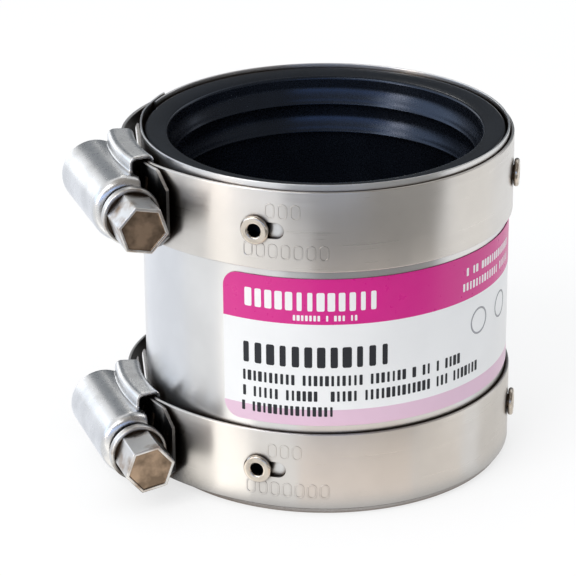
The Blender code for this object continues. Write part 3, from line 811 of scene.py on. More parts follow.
def lap_lift(angle):
    """How far the shield's lapped outer end stands off, from its edge onwards."""
    lap = LAP_WIDTH / SHIELD_OUTER
    past_lap = (angle - LAP_ANGLE - lap) / (LAP_EASE_ANGLE - lap)
    over_lap = (angle - LAP_ANGLE) / lap
    spring = LAP_SPRING * (1.0 - ease(over_lap))
    return (sizes().shield_sheet + LAP_GAP) * (1.0 - ease(past_lap)) + spring


class COUPLING_OT_shield(bpy.types.Operator):
    """Build the rolled steel shield"""

    bl_idname = "coupling.shield"
    bl_label = "Shield"

    def execute(self, context):
        sheet = sizes().shield_sheet
        inner = SHIELD_OUTER - sheet
        corners = ((inner, SHIELD_LOW.z), (SHIELD_OUTER, SHIELD_HIGH.z))
        section = rounded_rectangle(*corners, SHIELD_EDGE, SHIELD_EDGE_STEPS)
        turn = FULL_TURN + LAP_WIDTH / SHIELD_OUTER
        rings = []
        arcs = []
        for step in range(SHIELD_STEPS + 1):
            angle = LAP_ANGLE + turn * step / SHIELD_STEPS
            rings.append([(radius + lap_lift(angle), angle, height) for radius, height in section])
            arcs.append(angle * SHIELD_OUTER)
        shield = swept("shield_sheet", rings, arcs)
        top, foot = SHIELD_OUTER + MM, inner - MM
        side = [(0.0, top), (RIVET_HOLE, top), (RIVET_HOLE, foot), (0.0, foot)]
        for height in CLAMP_HEIGHTS.values():
            for angle in (FRONT_RIVET_ANGLE, SIDE_RIVET_ANGLE):
                punch = turned("punch", side, PUNCH_STEPS, closed=False)
                punch.data.transform(outward_frame(angle, height))
                shield = cut(shield, punch)
        smooth(shield)
        # The shield's colour carries painted shade within a short reach of nearby walls.
        set_material(shield, sheet_metal("satin shield", finishes().sheet, SHIELD_PAINTED_SHADE, **SHIELD_FINISH))
        seat(shield, BODY, "stainless_sheet", "shield")
        return {"FINISHED"}


# The slotted bands.

RIVET_SLOT_REACH = 4.4 * MM
SLOT_LENGTH = 9.0 * MM
SLOT_WIDTH = 1.5 * MM
SLOTS_AHEAD = 2
WORM_MEAN_RADIUS = 2.525 * MM
BAND_EDGE = 0.2 * MM
BAND_STATION = 0.45 * MM
ARC_SAMPLES = 4000
STAMP_PITCH = 1.95 * MM
STAMP_WIDTH = 1.3 * MM
STAMP_HEIGHT = 2.2 * MM
STAMP_LINE = 0.15 * MM
STAMP_SHARE = 0.45
STAMP_STEPS = 5
STAMP_WIRE_STEPS = 6
STAMP_SMOOTH = 60.0
STAMP_ROWS = (("above", 3, 2.2 * MM, 3.1 * MM), ("below", 7, -1.3 * MM, -3.3 * MM))
BAND_SMOOTH = 30.0
BAND_EDGE_STEPS = 4
SLOT_ROUND = 0.499
SLOT_STEPS = 7


def band_radius(angle):
    """Inner radius of a band, from its fixed end once round and on to its tail's tip."""
    fixed_share = (FIXED_SETTLE_END - angle) / (FIXED_SETTLE_END - FIXED_SETTLE_START)
    tail_share = (angle - FULL_TURN - TAIL_RISE_START) / (TAIL_RISE_END - TAIL_RISE_START)
    tip_angle = FULL_TURN + HOUSING_ANGLE + TAIL_REACH / tail_outer()
    free_angle = FULL_TURN + HOUSING_ANGLE + FLANGE_BACK / tail_outer()
    fixed_lift = (fixed_inner() - BAND_INNER) * min(max(fixed_share, 0.0), 1.0) ** 2
    tail_lift = (tail_inner() - BAND_INNER) * ease(tail_share)
    spring = TAIL_SPRING * max((angle - free_angle) / (tip_angle - free_angle), 0.0)
    return BAND_INNER + fixed_lift + tail_lift + spring


def band_development():
    """Matching angles and lengths along a band's outer face."""
    start = HOUSING_ANGLE - FIXED_END_REACH / fixed_inner()
    end = FULL_TURN + HOUSING_ANGLE + TAIL_REACH / tail_outer()
    angles = np.linspace(start, end, ARC_SAMPLES)
    reach = np.array([band_radius(angle) + sizes().band_sheet for angle in angles])
    steps = (reach[1:] + reach[:-1]) / 2.0 * np.diff(angles)
    return angles, np.concatenate(([0.0], np.cumsum(steps)))


def combine_xyz(tree, x=0.0, y=0.0, z=0.0):
    """A vector from three values or sockets."""
    return put(tree, "ShaderNodeCombineXYZ", x, y, z).outputs[0]


def rounded_outline(tree, width, height, corner, steps):
    """A rectangle's outline with round corners."""
    sides = put(tree, "GeometryNodeCurvePrimitiveQuadrilateral", Width=width, Height=height).outputs["Curve"]
    rounded = put(
        tree, "GeometryNodeFilletCurve", settings={"mode": "POLY"}, Curve=sides, Count=steps, Radius=corner
    )
    return rounded.outputs["Curve"]


def line_between(tree, start, end):
    """A straight curve."""
    return put(tree, "GeometryNodeCurvePrimitiveLine", Start=start, End=end).outputs["Curve"]


def carried(tree, path, outline):
    """A closed form that carries an outline along a path."""
    form = put(tree, "GeometryNodeCurveToMesh", Curve=path, Profile_Curve=outline, Fill_Caps=True)
    return form.outputs["Mesh"]


def slot_prism(tree, length, width, depth):
    """A round-ended prism that cuts a slot through a sheet, its length along X."""
    outline = rounded_outline(tree, length, width, math_node(tree, "MULTIPLY", width, SLOT_ROUND), SLOT_STEPS)
    low = combine_xyz(tree, z=math_node(tree, "MULTIPLY", depth, -1.0))
    high = combine_xyz(tree, z=math_node(tree, "MULTIPLY", depth, 2.0))
    return carried(tree, line_between(tree, low, high), outline)


def repeated(tree, count, start, offset, shape, turn=0.0):
    """Copies of a shape at even steps along X, as real geometry."""
    line = put(
        tree, "GeometryNodeMeshLine", Count=count, Start_Location=combine_xyz(tree, start),
        Offset=combine_xyz(tree, offset),
    )
    copies = put(
        tree, "GeometryNodeInstanceOnPoints", Points=line.outputs["Mesh"], Instance=shape,
        Rotation=combine_xyz(tree, z=turn),
    )
    return put(tree, "GeometryNodeRealizeInstances", Geometry=copies.outputs["Instances"]).outputs["Geometry"]


def end_tree(tree, result, geometry, material):
    """End a tree in real geometry with its material."""
    real = put(tree, "GeometryNodeRealizeInstances", Geometry=geometry).outputs["Geometry"]
    painted = put(tree, "GeometryNodeSetMaterial", Geometry=real, Material=material)
    tree.links.new(painted.outputs["Geometry"], result["Geometry"])
    return tree


def slotted_strip(name, values):
    """Geometry nodes for a flat strip: worm slots along its tail and two long rivet slots."""
    tree, size, result = new_tree("GeometryNodeTree", name, values, {"Geometry": "Geometry"})
    path = line_between(tree, combine_xyz(tree), combine_xyz(tree, size["Length"]))
    stations = put(
        tree, "GeometryNodeResampleCurve", settings={"mode": "COUNT"}, Curve=path, Count=size["Stations"]
    )
    outline = rounded_outline(tree, size["Width"], size["Thickness"], size["Edge"], BAND_EDGE_STEPS)
    strip = carried(tree, stations.outputs["Curve"], outline)
    slot = slot_prism(tree, size["Slot Length"], size["Slot Width"], size["Thickness"])
    long_slot = slot_prism(tree, size["Rivet Length"], size["Rivet Width"], size["Thickness"])
    join = tree.nodes.new("GeometryNodeJoinGeometry")
    for slots in (
        repeated(tree, size["Slot Count"], size["Slot Start"], size["Slot Pitch"], slot, size["Slot Turn"]),
        repeated(tree, 2, size["Rivet Start"], size["Rivet Offset"], long_slot),
    ):
        tree.links.new(slots, join.inputs[0])
    punched = put(tree, "GeometryNodeMeshBoolean", settings={"operation": "DIFFERENCE", "solver": "EXACT"})
    tree.links.new(strip, punched.inputs["Mesh 1"])
    tree.links.new(join.outputs[0], punched.inputs["Mesh 2"])
    return end_tree(tree, result, punched.outputs["Mesh"], size["Material"])


def tree_object(name, make, values):
    """An object made by a geometry node tree, with its inputs set by name."""
    thing = link(bpy.data.objects.new(name, bpy.data.meshes.new(name)))
    step = thing.modifiers.new("Nodes", "NODES")
    step.node_group = tree_from(make, values)
    for item in step.node_group.interface.items_tree:
        if item.in_out == "INPUT":
            step[item.identifier] = values[item.name]
    thing.data.update()
    return applied(thing)


def flat_strip(name, development, metal):
    """One band, flat, with its outer face up and its length along X."""
    angles, lengths = development
    size = sizes()
    middle = np.interp(FULL_TURN + HOUSING_ANGLE, angles, lengths)
    rivet_length = RIVET_SLOT_REACH + RIVET_HOLE
    shift = rivet_length / 2.0 - RIVET_HOLE
    front = np.interp(FRONT_RIVET_ANGLE, angles, lengths) + shift
    side = np.interp(SIDE_RIVET_ANGLE, angles, lengths) + shift
    slant = math.atan(size.slot_pitch / (FULL_TURN * WORM_MEAN_RADIUS))
    values = {
        "Length": float(lengths[-1]),
        "Width": BAND_HIGH.z - BAND_LOW.z,
        "Thickness": size.band_sheet,
        "Edge": BAND_EDGE,
        "Stations": int(lengths[-1] / BAND_STATION),
        "Slot Count": size.slot_count,
        "Slot Start": float(middle) - (size.slot_count - 1 - SLOTS_AHEAD) * size.slot_pitch,
        "Slot Pitch": size.slot_pitch,
        "Slot Length": SLOT_LENGTH,
        "Slot Width": SLOT_WIDTH,
        "Slot Turn": math.pi / 2.0 - slant,
        "Rivet Start": float(front),
        "Rivet Offset": float(side - front),
        "Rivet Length": rivet_length,
        "Rivet Width": 2.0 * RIVET_HOLE,
        "Material": metal,
    }
    return tree_object(name, slotted_strip, values)


def roll_on(thing, development, height, reach_at):
    """Roll a flat piece round the pipe's axis.

    X is the length along the sheet, Y the height and Z the distance from the
    middle of its thickness.
    """
    angles, lengths = development
    mesh = thing.data
    points = np.zeros(len(mesh.vertices) * 3)
    mesh.vertices.foreach_get("co", points)
    points = points.reshape(-1, 3)
    turn = np.interp(points[:, 0], lengths, angles)
    reach = np.array([reach_at(angle) for angle in turn]) + points[:, 2]
    flat = points[:, :2].copy()
    points[:, 0] = AXIS_X + reach * np.cos(turn)
    points[:, 1] = reach * np.sin(turn)
    points[:, 2] = height + flat[:, 1]
    layer = mesh.uv_layers.get("sheet") or mesh.uv_layers.new(name="sheet")
    corners = np.zeros(len(mesh.loops), dtype=int)
    mesh.loops.foreach_get("vertex_index", corners)
    layer.uv.foreach_set("vector", flat[corners][:, ::-1].ravel())
    mesh.vertices.foreach_set("co", points.ravel())
    mesh.update()
    return thing


def chamfer_tip(thing, length):
    """Draw the strip's last corners in."""
    half = (BAND_HIGH.z - BAND_LOW.z) / 2.0
    for vert in thing.data.vertices:
        past = (vert.co.x - length + TAIL_CHAMFER_LENGTH) / TAIL_CHAMFER_LENGTH
        if past > 0.0:
            limit = half - TAIL_CHAMFER_HEIGHT * past
            vert.co.y = min(max(vert.co.y, -limit), limit)


def row_of_stamps(name, values):
    """Geometry nodes for one stamped row: raised outlines of rounded blocks at even steps."""
    tree, size, result = new_tree("GeometryNodeTree", name, values, {"Geometry": "Geometry"})
    outline = rounded_outline(tree, size["Block Width"], size["Block Height"], size["Round"], STAMP_STEPS)
    wire = put(tree, "GeometryNodeCurvePrimitiveCircle", Resolution=STAMP_WIRE_STEPS, Radius=size["Line"])
    ridge = put(tree, "GeometryNodeCurveToMesh", Curve=outline, Profile_Curve=wire.outputs["Curve"])
    row = repeated(tree, size["Count"], size["Start"], size["Pitch"], ridge.outputs["Mesh"])
    return end_tree(tree, result, row, size["Material"])


def stamp_row(name, count, start, height, development, metal):
    """One stamped row, rolled onto a band's outer face."""
    values = {
        "Count": count,
        "Start": start,
        "Pitch": STAMP_PITCH,
        "Block Width": STAMP_WIDTH,
        "Block Height": STAMP_HEIGHT,
        "Round": STAMP_WIDTH * STAMP_SHARE,
        "Line": STAMP_LINE,
        "Material": metal,
    }
    surface = sizes().band_sheet - STAMP_LINE * STAMP_SHARE
    row = tree_object(name, row_of_stamps, values)
    return roll_on(row, development, height, lambda angle: band_radius(angle) + surface)


class COUPLING_OT_bands(bpy.types.Operator):
    """Build both slotted clamp bands"""

    bl_idname = "coupling.bands"
    bl_label = "Clamp Bands"

    def execute(self, context):
        development = band_development()
        middle = sizes().band_sheet / 2.0
        near_rivet = float(np.interp(FRONT_RIVET_ANGLE, *development))
        # Two copies of the band metal: both carry painted shade, the tail's copy deeper and over a longer
        # reach.
        metals = (strip_metal("bright band", BAND_PAINTED_SHADE), strip_metal("grimy tail", TAIL_PAINTED_SHADE))
        for clamp in CLAMPS:
            height = CLAMP_HEIGHTS[clamp]
            band = flat_strip(clamp + "_strip", development, metals[0])
            chamfer_tip(band, development[1][-1])
            roll_on(band, development, height, lambda angle: band_radius(angle) + middle)
            outward(band)
            smooth(band, BAND_SMOOTH)
            set_material(band, *metals)
            for face in band.data.polygons:
                reach = math.hypot(face.center.x - AXIS_X, face.center.y)
                # The tail's faces take the copy with the deeper painted shade.
                face.material_index = int(face.center.y < 0.0 and reach > tail_inner() - SHEET_GAP)
            rows = []
            for row, count, start, rise in STAMP_ROWS:
                place = (near_rivet + start, height + rise)
                stamps = stamp_row(f"{clamp}_{row}", count, *place, development, metals[0])
                rows.append(smooth(stamps, STAMP_SMOOTH))
            joined(band, rows)
            seat(band, BODY, "bright_band", clamp + "_band")
        return {"FINISHED"}


def outward(thing):
    """Merge a piece's doubles and turn its faces outwards."""
    bm = bmesh.new()
    bm.from_mesh(thing.data)
    bmesh.ops.remove_doubles(bm, verts=bm.verts, dist=SAME_SPOT)
    bmesh.ops.recalc_face_normals(bm, faces=bm.faces)
    bm.to_mesh(thing.data)
    bm.free()
    return thing


# The housings.

BARREL_RADIUS = 5.25 * MM
BARREL_SHEET = 0.75 * MM
BARREL_FRONT = 9.0 * MM
BARREL_REAR = 10.3 * MM
BARREL_FRONT_ROUND = 1.5 * MM
BARREL_REAR_ROUND = 0.95 * MM
BARREL_TRIM = 0.6 * MM
COLLAR_RADIUS = 2.5 * MM
SADDLE_SIDE_GAP = 0.25 * MM
SADDLE_HEADROOM = 1.45 * MM
SADDLE_REAR = 8.0 * MM
SADDLE_FRONT = 5.6 * MM
SADDLE_CORNER = 1.1 * MM
SEAM_WIDTH = 0.4 * MM
CUT_MARGIN = 1.0 * MM
HOUSING_VOXEL = 0.14 * MM
HOUSING_STEPS = 72
HOUSING_SOFTENING = 11
BARREL_ROUND_STEPS = 8
SADDLE_ROUND_STEPS = 6
SADDLE_STEPS = 24
TRIM_REACH = 20.0 * MM
SEAM_REACH = 10.0 * MM


def barrel_side(inset):
    """The round-ended side of the barrel, or of a barrel set in from it, from its front to its rear."""
    front = BARREL_FRONT_ROUND - inset
    rear = BARREL_REAR_ROUND - inset
    side = BARREL_RADIUS - inset
    turn = math.pi / 2.0
    front_centre = (side - front, BARREL_FRONT - BARREL_FRONT_ROUND)
    rear_centre = (side - rear, BARREL_REAR_ROUND - BARREL_REAR)
    points = arc(front_centre, front, turn, 0.0, BARREL_ROUND_STEPS)
    return points + arc(rear_centre, rear, 0.0, -turn, BARREL_ROUND_STEPS)


def saddle_shell(name, inner, outer, half_width, corner, start, end, height):
    """A solid band tunnel: a rounded section swept round the pipe's axis."""
    section = rounded_rectangle((inner, -half_width), (outer, half_width), corner, SADDLE_ROUND_STEPS)
    rings = []
    arcs = []
    for step in range(SADDLE_STEPS + 1):
        angle = start + (end - start) * step / SADDLE_STEPS
        rings.append([(radius, angle, height + across) for radius, across in section])
        arcs.append(angle * outer)
    return swept(name, rings, arcs)


def housing_form(clamp):
    """The pressed housing: a barrel on a saddle, hollow for the screw and the band."""
    height = CLAMP_HEIGHTS[clamp]
    axis = screw_frame(clamp)
    half_room = (BAND_HIGH.z - BAND_LOW.z) / 2.0 + SADDLE_SIDE_GAP
    ceiling = tail_outer() + SADDLE_HEADROOM
    start = HOUSING_ANGLE - SADDLE_REAR / tail_outer()
    end = HOUSING_ANGLE + SADDLE_FRONT / tail_outer()
    solid = [(0.0, BARREL_FRONT), *barrel_side(0.0), (0.0, -BARREL_REAR)]
    form = turned("form", solid, HOUSING_STEPS, closed=False)
    form.data.transform(axis)
    trim_x = AXIS_X - tail_outer() - BARREL_TRIM
    trim = box_between(
        "trim",
        (trim_x, -TRIM_REACH, height - TRIM_REACH),
        (trim_x + TRIM_REACH, TRIM_REACH, height + TRIM_REACH),
    )
    form = cut(form, trim)
    saddle = saddle_shell(
        "saddle", SADDLE_UNDER, ceiling + SADDLE_SHEET, half_room + SADDLE_SHEET, SADDLE_CORNER,
        start, end, height,
    )
    form = cut(form, saddle, "UNION")
    extra = CUT_MARGIN / tail_outer()
    tunnel = saddle_shell(
        "tunnel", SADDLE_UNDER + SADDLE_SHEET, ceiling, half_room, SADDLE_CORNER - SADDLE_SHEET,
        start - extra, end + extra, height,
    )
    form = cut(form, tunnel)
    front = BARREL_FRONT + CUT_MARGIN
    rear = -BARREL_REAR - CUT_MARGIN
    room = [(0.0, front), (COLLAR_RADIUS, front), (COLLAR_RADIUS, BARREL_FRONT - BARREL_SHEET)]
    room += barrel_side(BARREL_SHEET)
    room += [(COLLAR_RADIUS, BARREL_SHEET - BARREL_REAR), (COLLAR_RADIUS, rear), (0.0, rear)]
    hollow = turned("hollow", room, HOUSING_STEPS - 4, closed=False)
    hollow.data.transform(axis)
    form = cut(form, hollow)
    floor = AXIS_X - SADDLE_UNDER - SADDLE_SHEET - SHEET_GAP / 2.0
    side = SEAM_WIDTH / 2.0
    seam = box_between(
        "seam", (floor, -TRIM_REACH, height - side), (floor + SEAM_REACH, TRIM_REACH, height + side)
    )
    return cut(form, seam)


class COUPLING_OT_housings(bpy.types.Operator):
    """Build both pressed housings"""

    bl_idname = "coupling.housings"
    bl_label = "Housings"

    def execute(self, context):
        metal = housing_metal()
        for clamp in CLAMPS:
            form = housing_form(clamp)
            form.name = clamp + "_pressing"
            remesh = form.modifiers.new("Skin", "REMESH")
            remesh.mode = "VOXEL"
            remesh.voxel_size = HOUSING_VOXEL
            remesh.use_smooth_shade = True
            soften = form.modifiers.new("Soften", "SMOOTH")
            soften.factor = 0.5
            soften.iterations = HOUSING_SOFTENING
            housing = applied(form)
            housing.data.shade_smooth()
            set_material(housing, metal)
            seat(housing, BODY, "zinc_plate", clamp + "_housing")
        return {"FINISHED"}


# The worm screws.

WORM_CREST_RADIUS = 2.9 * MM
WORM_DEPTH = 0.75 * MM
WORM_TURNS = 4
WORM_CREST_WIDTH = 0.8 * MM
WORM_BASE_WIDTH = 1.8 * MM
WORM_STEPS = 48
NOSE_RADIUS = 1.9 * MM
FLANGE_RADIUS = 4.55 * MM
FLANGE_THICKNESS = 1.4 * MM
FLANGE_RIM = 0.7 * MM
FLANGE_GROOVE = 0.35 * MM
FLANGE_ROUND = 0.3 * MM
FLANGE_STEPS = 5
GROOVE_STEPS = 4
HEX_HEIGHT = 6.1 * MM
HEX_CHAMFER = 0.22 * MM
HEX_RIM = 0.16 * MM
HEX_RECESS = 0.22 * MM
HEX_CORNER = 0.3 * MM
HEX_CORNER_STEPS = 4
HEX_EDGE_STEPS = 4
HEX_RECESS_STEPS = 3
HEX_ANGLES = {"upper": math.radians(12.6), "lower": math.radians(-9.8)}
SCREW_STEPS = 96
SCREW_SMOOTH = 28.0


def screw_core():
    """The screw's core, nose and flange, from the head's foot to the nose."""
    front = FLANGE_BACK + FLANGE_THICKNESS
    groove_floor = front - FLANGE_GROOVE
    rim_inner = FLANGE_RADIUS - FLANGE_RIM
    root = WORM_CREST_RADIUS - WORM_DEPTH
    worm_end = WORM_TURNS * sizes().slot_pitch / 2.0 + WORM_BASE_WIDTH / 2.0
    points = [(0.0, groove_floor), (rim_inner - FLANGE_GROOVE, groove_floor)]
    turn = math.pi / 2.0
    groove = FLANGE_RIM / 3.0
    rim = FLANGE_RADIUS - FLANGE_ROUND
    points += arc((rim_inner + groove, front - groove), groove, math.pi, turn, GROOVE_STEPS)
    points += arc((rim, front - FLANGE_ROUND), FLANGE_ROUND, turn, 0.0, FLANGE_STEPS)
    points += arc((rim, FLANGE_BACK + FLANGE_ROUND), FLANGE_ROUND, 0.0, -turn, FLANGE_STEPS)
    points += [(root, FLANGE_BACK), (root, -worm_end), (NOSE_RADIUS, -worm_end), (NOSE_RADIUS, -BARREL_REAR)]
    return points + [(0.0, -BARREL_REAR)]


def worm_thread():
    """The worm's thread: a trapezoid swept along a right-hand helix."""
    pitch = sizes().slot_pitch
    foot = WORM_CREST_RADIUS - WORM_DEPTH * 4.0 / 3.0
    base = WORM_BASE_WIDTH / 2.0
    crest = WORM_CREST_WIDTH / 2.0
    corners = [(foot, -base), (WORM_CREST_RADIUS, -crest), (WORM_CREST_RADIUS, crest), (foot, base)]
    bm = bmesh.new()
    rows = []
    for step in range(WORM_STEPS * WORM_TURNS + 1):
        angle = FULL_TURN * step / WORM_STEPS
        along = pitch * (step / WORM_STEPS - WORM_TURNS / 2.0)
        x, y = math.cos(angle), math.sin(angle)
        spots = [(radius * x, radius * y, along + offset) for radius, offset in corners]
        rows.append([bm.verts.new(spot) for spot in spots])
    tube(bm, rows)
    return mesh_object("thread", bm)


def rounded_hexagon(flats, corner, angle, height):
    """Points of a hexagon with round corners, as wide as given across its flats."""
    reach = (flats / 2.0 - corner) * 2.0 / math.sqrt(3.0)
    points = []
    for side in range(6):
        middle = angle + side * math.pi / 3.0
        centre = (reach * math.cos(middle), reach * math.sin(middle))
        ends = (middle - math.pi / 6.0, middle + math.pi / 6.0)
        points += [(x, y, height) for x, y in arc(centre, corner, *ends, HEX_CORNER_STEPS)]
    return points


def hexagon(angle):
    """A hexagon head with soft edges and a shallow recess in its face."""
    foot = FLANGE_BACK + FLANGE_THICKNESS / 3.0
    top = FLANGE_BACK + FLANGE_THICKNESS + HEX_HEIGHT
    flats = sizes().hexagon_flats
    turn = -angle
    rows = [(flats, HEX_CORNER, foot)]
    centre = (-HEX_CHAMFER, top - HEX_CHAMFER)
    for across, height in arc(centre, HEX_CHAMFER, 0.0, math.pi / 2.0, HEX_EDGE_STEPS):
        rows.append((flats + 2.0 * across, HEX_CORNER + across / 2.0, height))
    rim = flats - 2.0 * (HEX_CHAMFER + HEX_RIM)
    drop = HEX_RECESS / 2.0
    for across, height in arc((0.0, top - drop), drop, math.pi / 2.0, math.pi, HEX_RECESS_STEPS):
        rows.append((rim + 2.0 * across, HEX_CORNER / 2.0, height))
    rows.append((rim - 2.0 * HEX_RECESS, HEX_CORNER / 3.0, top - HEX_RECESS))
    bm = bmesh.new()
    rings = []
    for across, corner, height in rows:
        rings.append([bm.verts.new(point) for point in rounded_hexagon(across, corner, turn, height)])
    walls = skin(bm, rings)
    bm.faces.new(list(reversed(rings[0])))
    face = bm.faces.new(rings[-1])
    for stained in (*walls[-2], *walls[-1], face):
        stained.material_index = 1
    return mesh_object("hexagon", bm)


class COUPLING_OT_screws(bpy.types.Operator):
    """Build both worm screws"""

    bl_idname = "coupling.screws"
    bl_label = "Worm Screws"

    def execute(self, context):
        metals = (screw_metal(), stained_metal())
        for clamp in CLAMPS:
            screw = turned(clamp + "_worm", screw_core(), SCREW_STEPS, closed=False)
            set_material(screw, *metals)
            screw = merged(screw, worm_thread(), hexagon(HEX_ANGLES[clamp]))
            screw.data.transform(screw_frame(clamp))
            smooth(screw, SCREW_SMOOTH)
            seat(screw, clamp + "_screw", "zinc_plate", clamp + "_screw")
        return {"FINISHED"}


# The hollow rivets.

RIVET_STEPS = 72
RIVET_RIM_STEPS = 12
RIVET_FUNNEL_STEPS = 8
RIVET_BORE = 1.0 * MM
RIVET_WALL = 0.15 * MM
RIVET_FLANGE = 2.25 * MM
RIVET_RISE = 0.85 * MM
RIVET_GAP = 0.1 * MM
RIVET_FUNNEL = 0.4 * MM
FLARE_GAP = 0.2 * MM
FLARE_RADIUS = 1.85 * MM
FLARE_THICKNESS = 0.2 * MM


def rivet_profile():
    """A hollow rivet along its own axis: heights are distances from the pipe's axis."""
    seat_height = BAND_OUTER + RIVET_GAP
    top = seat_height + RIVET_RISE
    flare_top = SHIELD_OUTER - sizes().shield_sheet - FLARE_GAP
    flare_bottom = flare_top - FLARE_THICKNESS
    rim = RIVET_RISE / 2.0
    points = arc((RIVET_FLANGE - rim, top - rim), rim, math.pi / 2.0, -math.pi / 2.0, RIVET_RIM_STEPS)
    points += [(RIVET_BORE + RIVET_WALL, seat_height), (RIVET_BORE + RIVET_WALL, flare_top)]
    points += [(FLARE_RADIUS, flare_top), (FLARE_RADIUS, flare_bottom), (RIVET_BORE, flare_bottom)]
    centre = (RIVET_BORE + RIVET_FUNNEL, top - RIVET_FUNNEL)
    return points + arc(centre, RIVET_FUNNEL, -math.pi, -1.5 * math.pi, RIVET_FUNNEL_STEPS)


class COUPLING_OT_rivets(bpy.types.Operator):
    """Build the hollow rivets of both clamps"""

    bl_idname = "coupling.rivets"
    bl_label = "Hollow Rivets"

    def execute(self, context):
        metal = rivet_metal()
        for clamp in CLAMPS:
            for place, angle in (("front", FRONT_RIVET_ANGLE), ("side", SIDE_RIVET_ANGLE)):
                rivet = turned(f"{clamp}_{place}_eyelet", rivet_profile(), RIVET_STEPS)
                rivet.data.transform(outward_frame(angle, CLAMP_HEIGHTS[clamp]))
                smooth(rivet)
                set_material(rivet, metal)
                seat(rivet, BODY, "rivet_steel", f"{clamp}_{place}_rivet")
        return {"FINISHED"}


# The printed label.

LABEL_ANGLE = math.radians(218.0)
LABEL_LENGTH = 76.2 * MM
LABEL_THICKNESS = 0.1 * MM
LABEL_GAP = 0.06 * MM
LABEL_CORNER = 2.6 * MM
MAGENTA_LOW = 31.7 * MM
PINK_HIGH = 17.6 * MM
LABEL_STEPS = 200
LABEL_OUTER = SHIELD_OUTER + LABEL_GAP + LABEL_THICKNESS
LABEL_DEVELOPMENT = (
    [LABEL_ANGLE, LABEL_ANGLE + LABEL_LENGTH / SHIELD_OUTER],
    [0.0, LABEL_LENGTH],
)
PRINT_RELIEF = 0.05 * MM
PRINT_FILL = 0.76
PRINT_ROUND = 0.16
PRINT_NARROWEST = 0.5
MARK_PLACES = (43.8 * MM, 51.3 * MM)
MARK_HEIGHT = 27.2 * MM
MARK_RADIUS = 2.2 * MM
MARK_LINE = 0.3 * MM
MARK_STEPS = 48
PRINT_CORNER_STEPS = 3
WHITE_PRINT = (0.86, 0.85, 0.87)
GREY_PRINT = (0.33, 0.34, 0.37)
WHITE_FILM = (0.84, 0.85, 0.87)

# Rows of print: name, start, end, low and high in mm, pitch in mm, share of gaps, seed, colour.
PRINT_ROWS = (
    ("field_row", 3.5, 24.4, 33.9, 36.9, 1.6, 0.06, 3, "white"),
    ("field_note", 11.2, 21.7, 32.3, 33.2, 0.62, 0.14, 5, "white"),
    ("side_row_1", 39.4, 56.0, 35.6, 36.9, 0.8, 0.16, 11, "white"),
    ("side_row_2", 39.4, 56.0, 33.2, 34.5, 0.8, 0.14, 19, "white"),
    ("large_row", 2.9, 28.2, 24.6, 28.0, 1.95, 0.06, 2, "dark"),
    ("row_1", 3.1, 40.0, 21.6, 23.3, 0.86, 0.16, 23, "dark"),
    ("row_2", 3.1, 44.0, 19.0, 20.7, 0.86, 0.14, 31, "dark"),
    ("row_3", 2.9, 19.0, 16.5, 18.1, 0.86, 0.12, 41, "dark"),
)
LABEL_CORNER_STEPS = 12


def label_stations():
    """Distances along the label, close together in its round corners."""
    corner = [LABEL_CORNER * (1.0 - math.cos(math.pi / 2.0 * step / LABEL_CORNER_STEPS))
              for step in range(LABEL_CORNER_STEPS)]
    body = LABEL_LENGTH - 2.0 * LABEL_CORNER
    middle = [LABEL_CORNER + body * step / LABEL_STEPS for step in range(LABEL_STEPS + 1)]
    return corner + middle + [LABEL_LENGTH - along for along in reversed(corner)]


def label_ring(along):
    """The label's section at a distance along it: two faces, split where its colours meet."""
    near_end = min(along, LABEL_LENGTH - along, LABEL_CORNER)
    drop = LABEL_CORNER - math.sqrt(max(LABEL_CORNER ** 2 - (LABEL_CORNER - near_end) ** 2, 0.0))
    angle = LABEL_ANGLE + along / SHIELD_OUTER
    heights = (LABEL_LOW.z + drop, PINK_HIGH, MAGENTA_LOW, LABEL_HIGH.z - drop)
    inner = SHIELD_OUTER + LABEL_GAP
    outer = inner + LABEL_THICKNESS
    front = [(outer, angle, height) for height in heights]
    return front + [(inner, angle, height) for height in reversed(heights)]


def random_value(tree, kind, **values):
    """A random value node of one kind."""
    return put(tree, "FunctionNodeRandomValue", settings={"data_type": kind}, **values)


def row_of_blocks(name, values):
    """Geometry nodes for one row of print: blocks of uneven width with gaps between groups."""
    tree, size, result = new_tree("GeometryNodeTree", name, values, {"Geometry": "Geometry"})
    line = put(
        tree, "GeometryNodeMeshLine", Count=size["Count"], Start_Location=combine_xyz(tree, size["Start"]),
        Offset=combine_xyz(tree, size["Pitch"]),
    )
    gap = random_value(tree, "BOOLEAN", Probability=size["Gaps"], Seed=size["Seed"])
    kept = put(
        tree, "GeometryNodeDeleteGeometry", settings={"domain": "POINT"}, Geometry=line.outputs["Mesh"],
        Selection=gap.outputs[3],
    )
    corner = size["Round"]
    outline = rounded_outline(tree, size["Block Width"], size["Block Height"], corner, PRINT_CORNER_STEPS)
    rise = line_between(tree, combine_xyz(tree), combine_xyz(tree, z=size["Relief"]))
    width = random_value(tree, "FLOAT", Seed=size["Seed"])
    fill(tree, width, 2, size["Narrowest"])
    fill(tree, width, 3, 1.0)
    copies = put(
        tree, "GeometryNodeInstanceOnPoints", Points=kept.outputs["Geometry"],
        Instance=carried(tree, rise, outline), Scale=combine_xyz(tree, width.outputs[1], 1.0, 1.0),
    )
    return end_tree(tree, result, copies.outputs["Instances"], size["Material"])


def rolled_print(row, height):
    """Roll a flat piece of print onto the label."""
    return roll_on(row, LABEL_DEVELOPMENT, height, lambda angle: LABEL_OUTER - PRINT_RELIEF / 2.0)


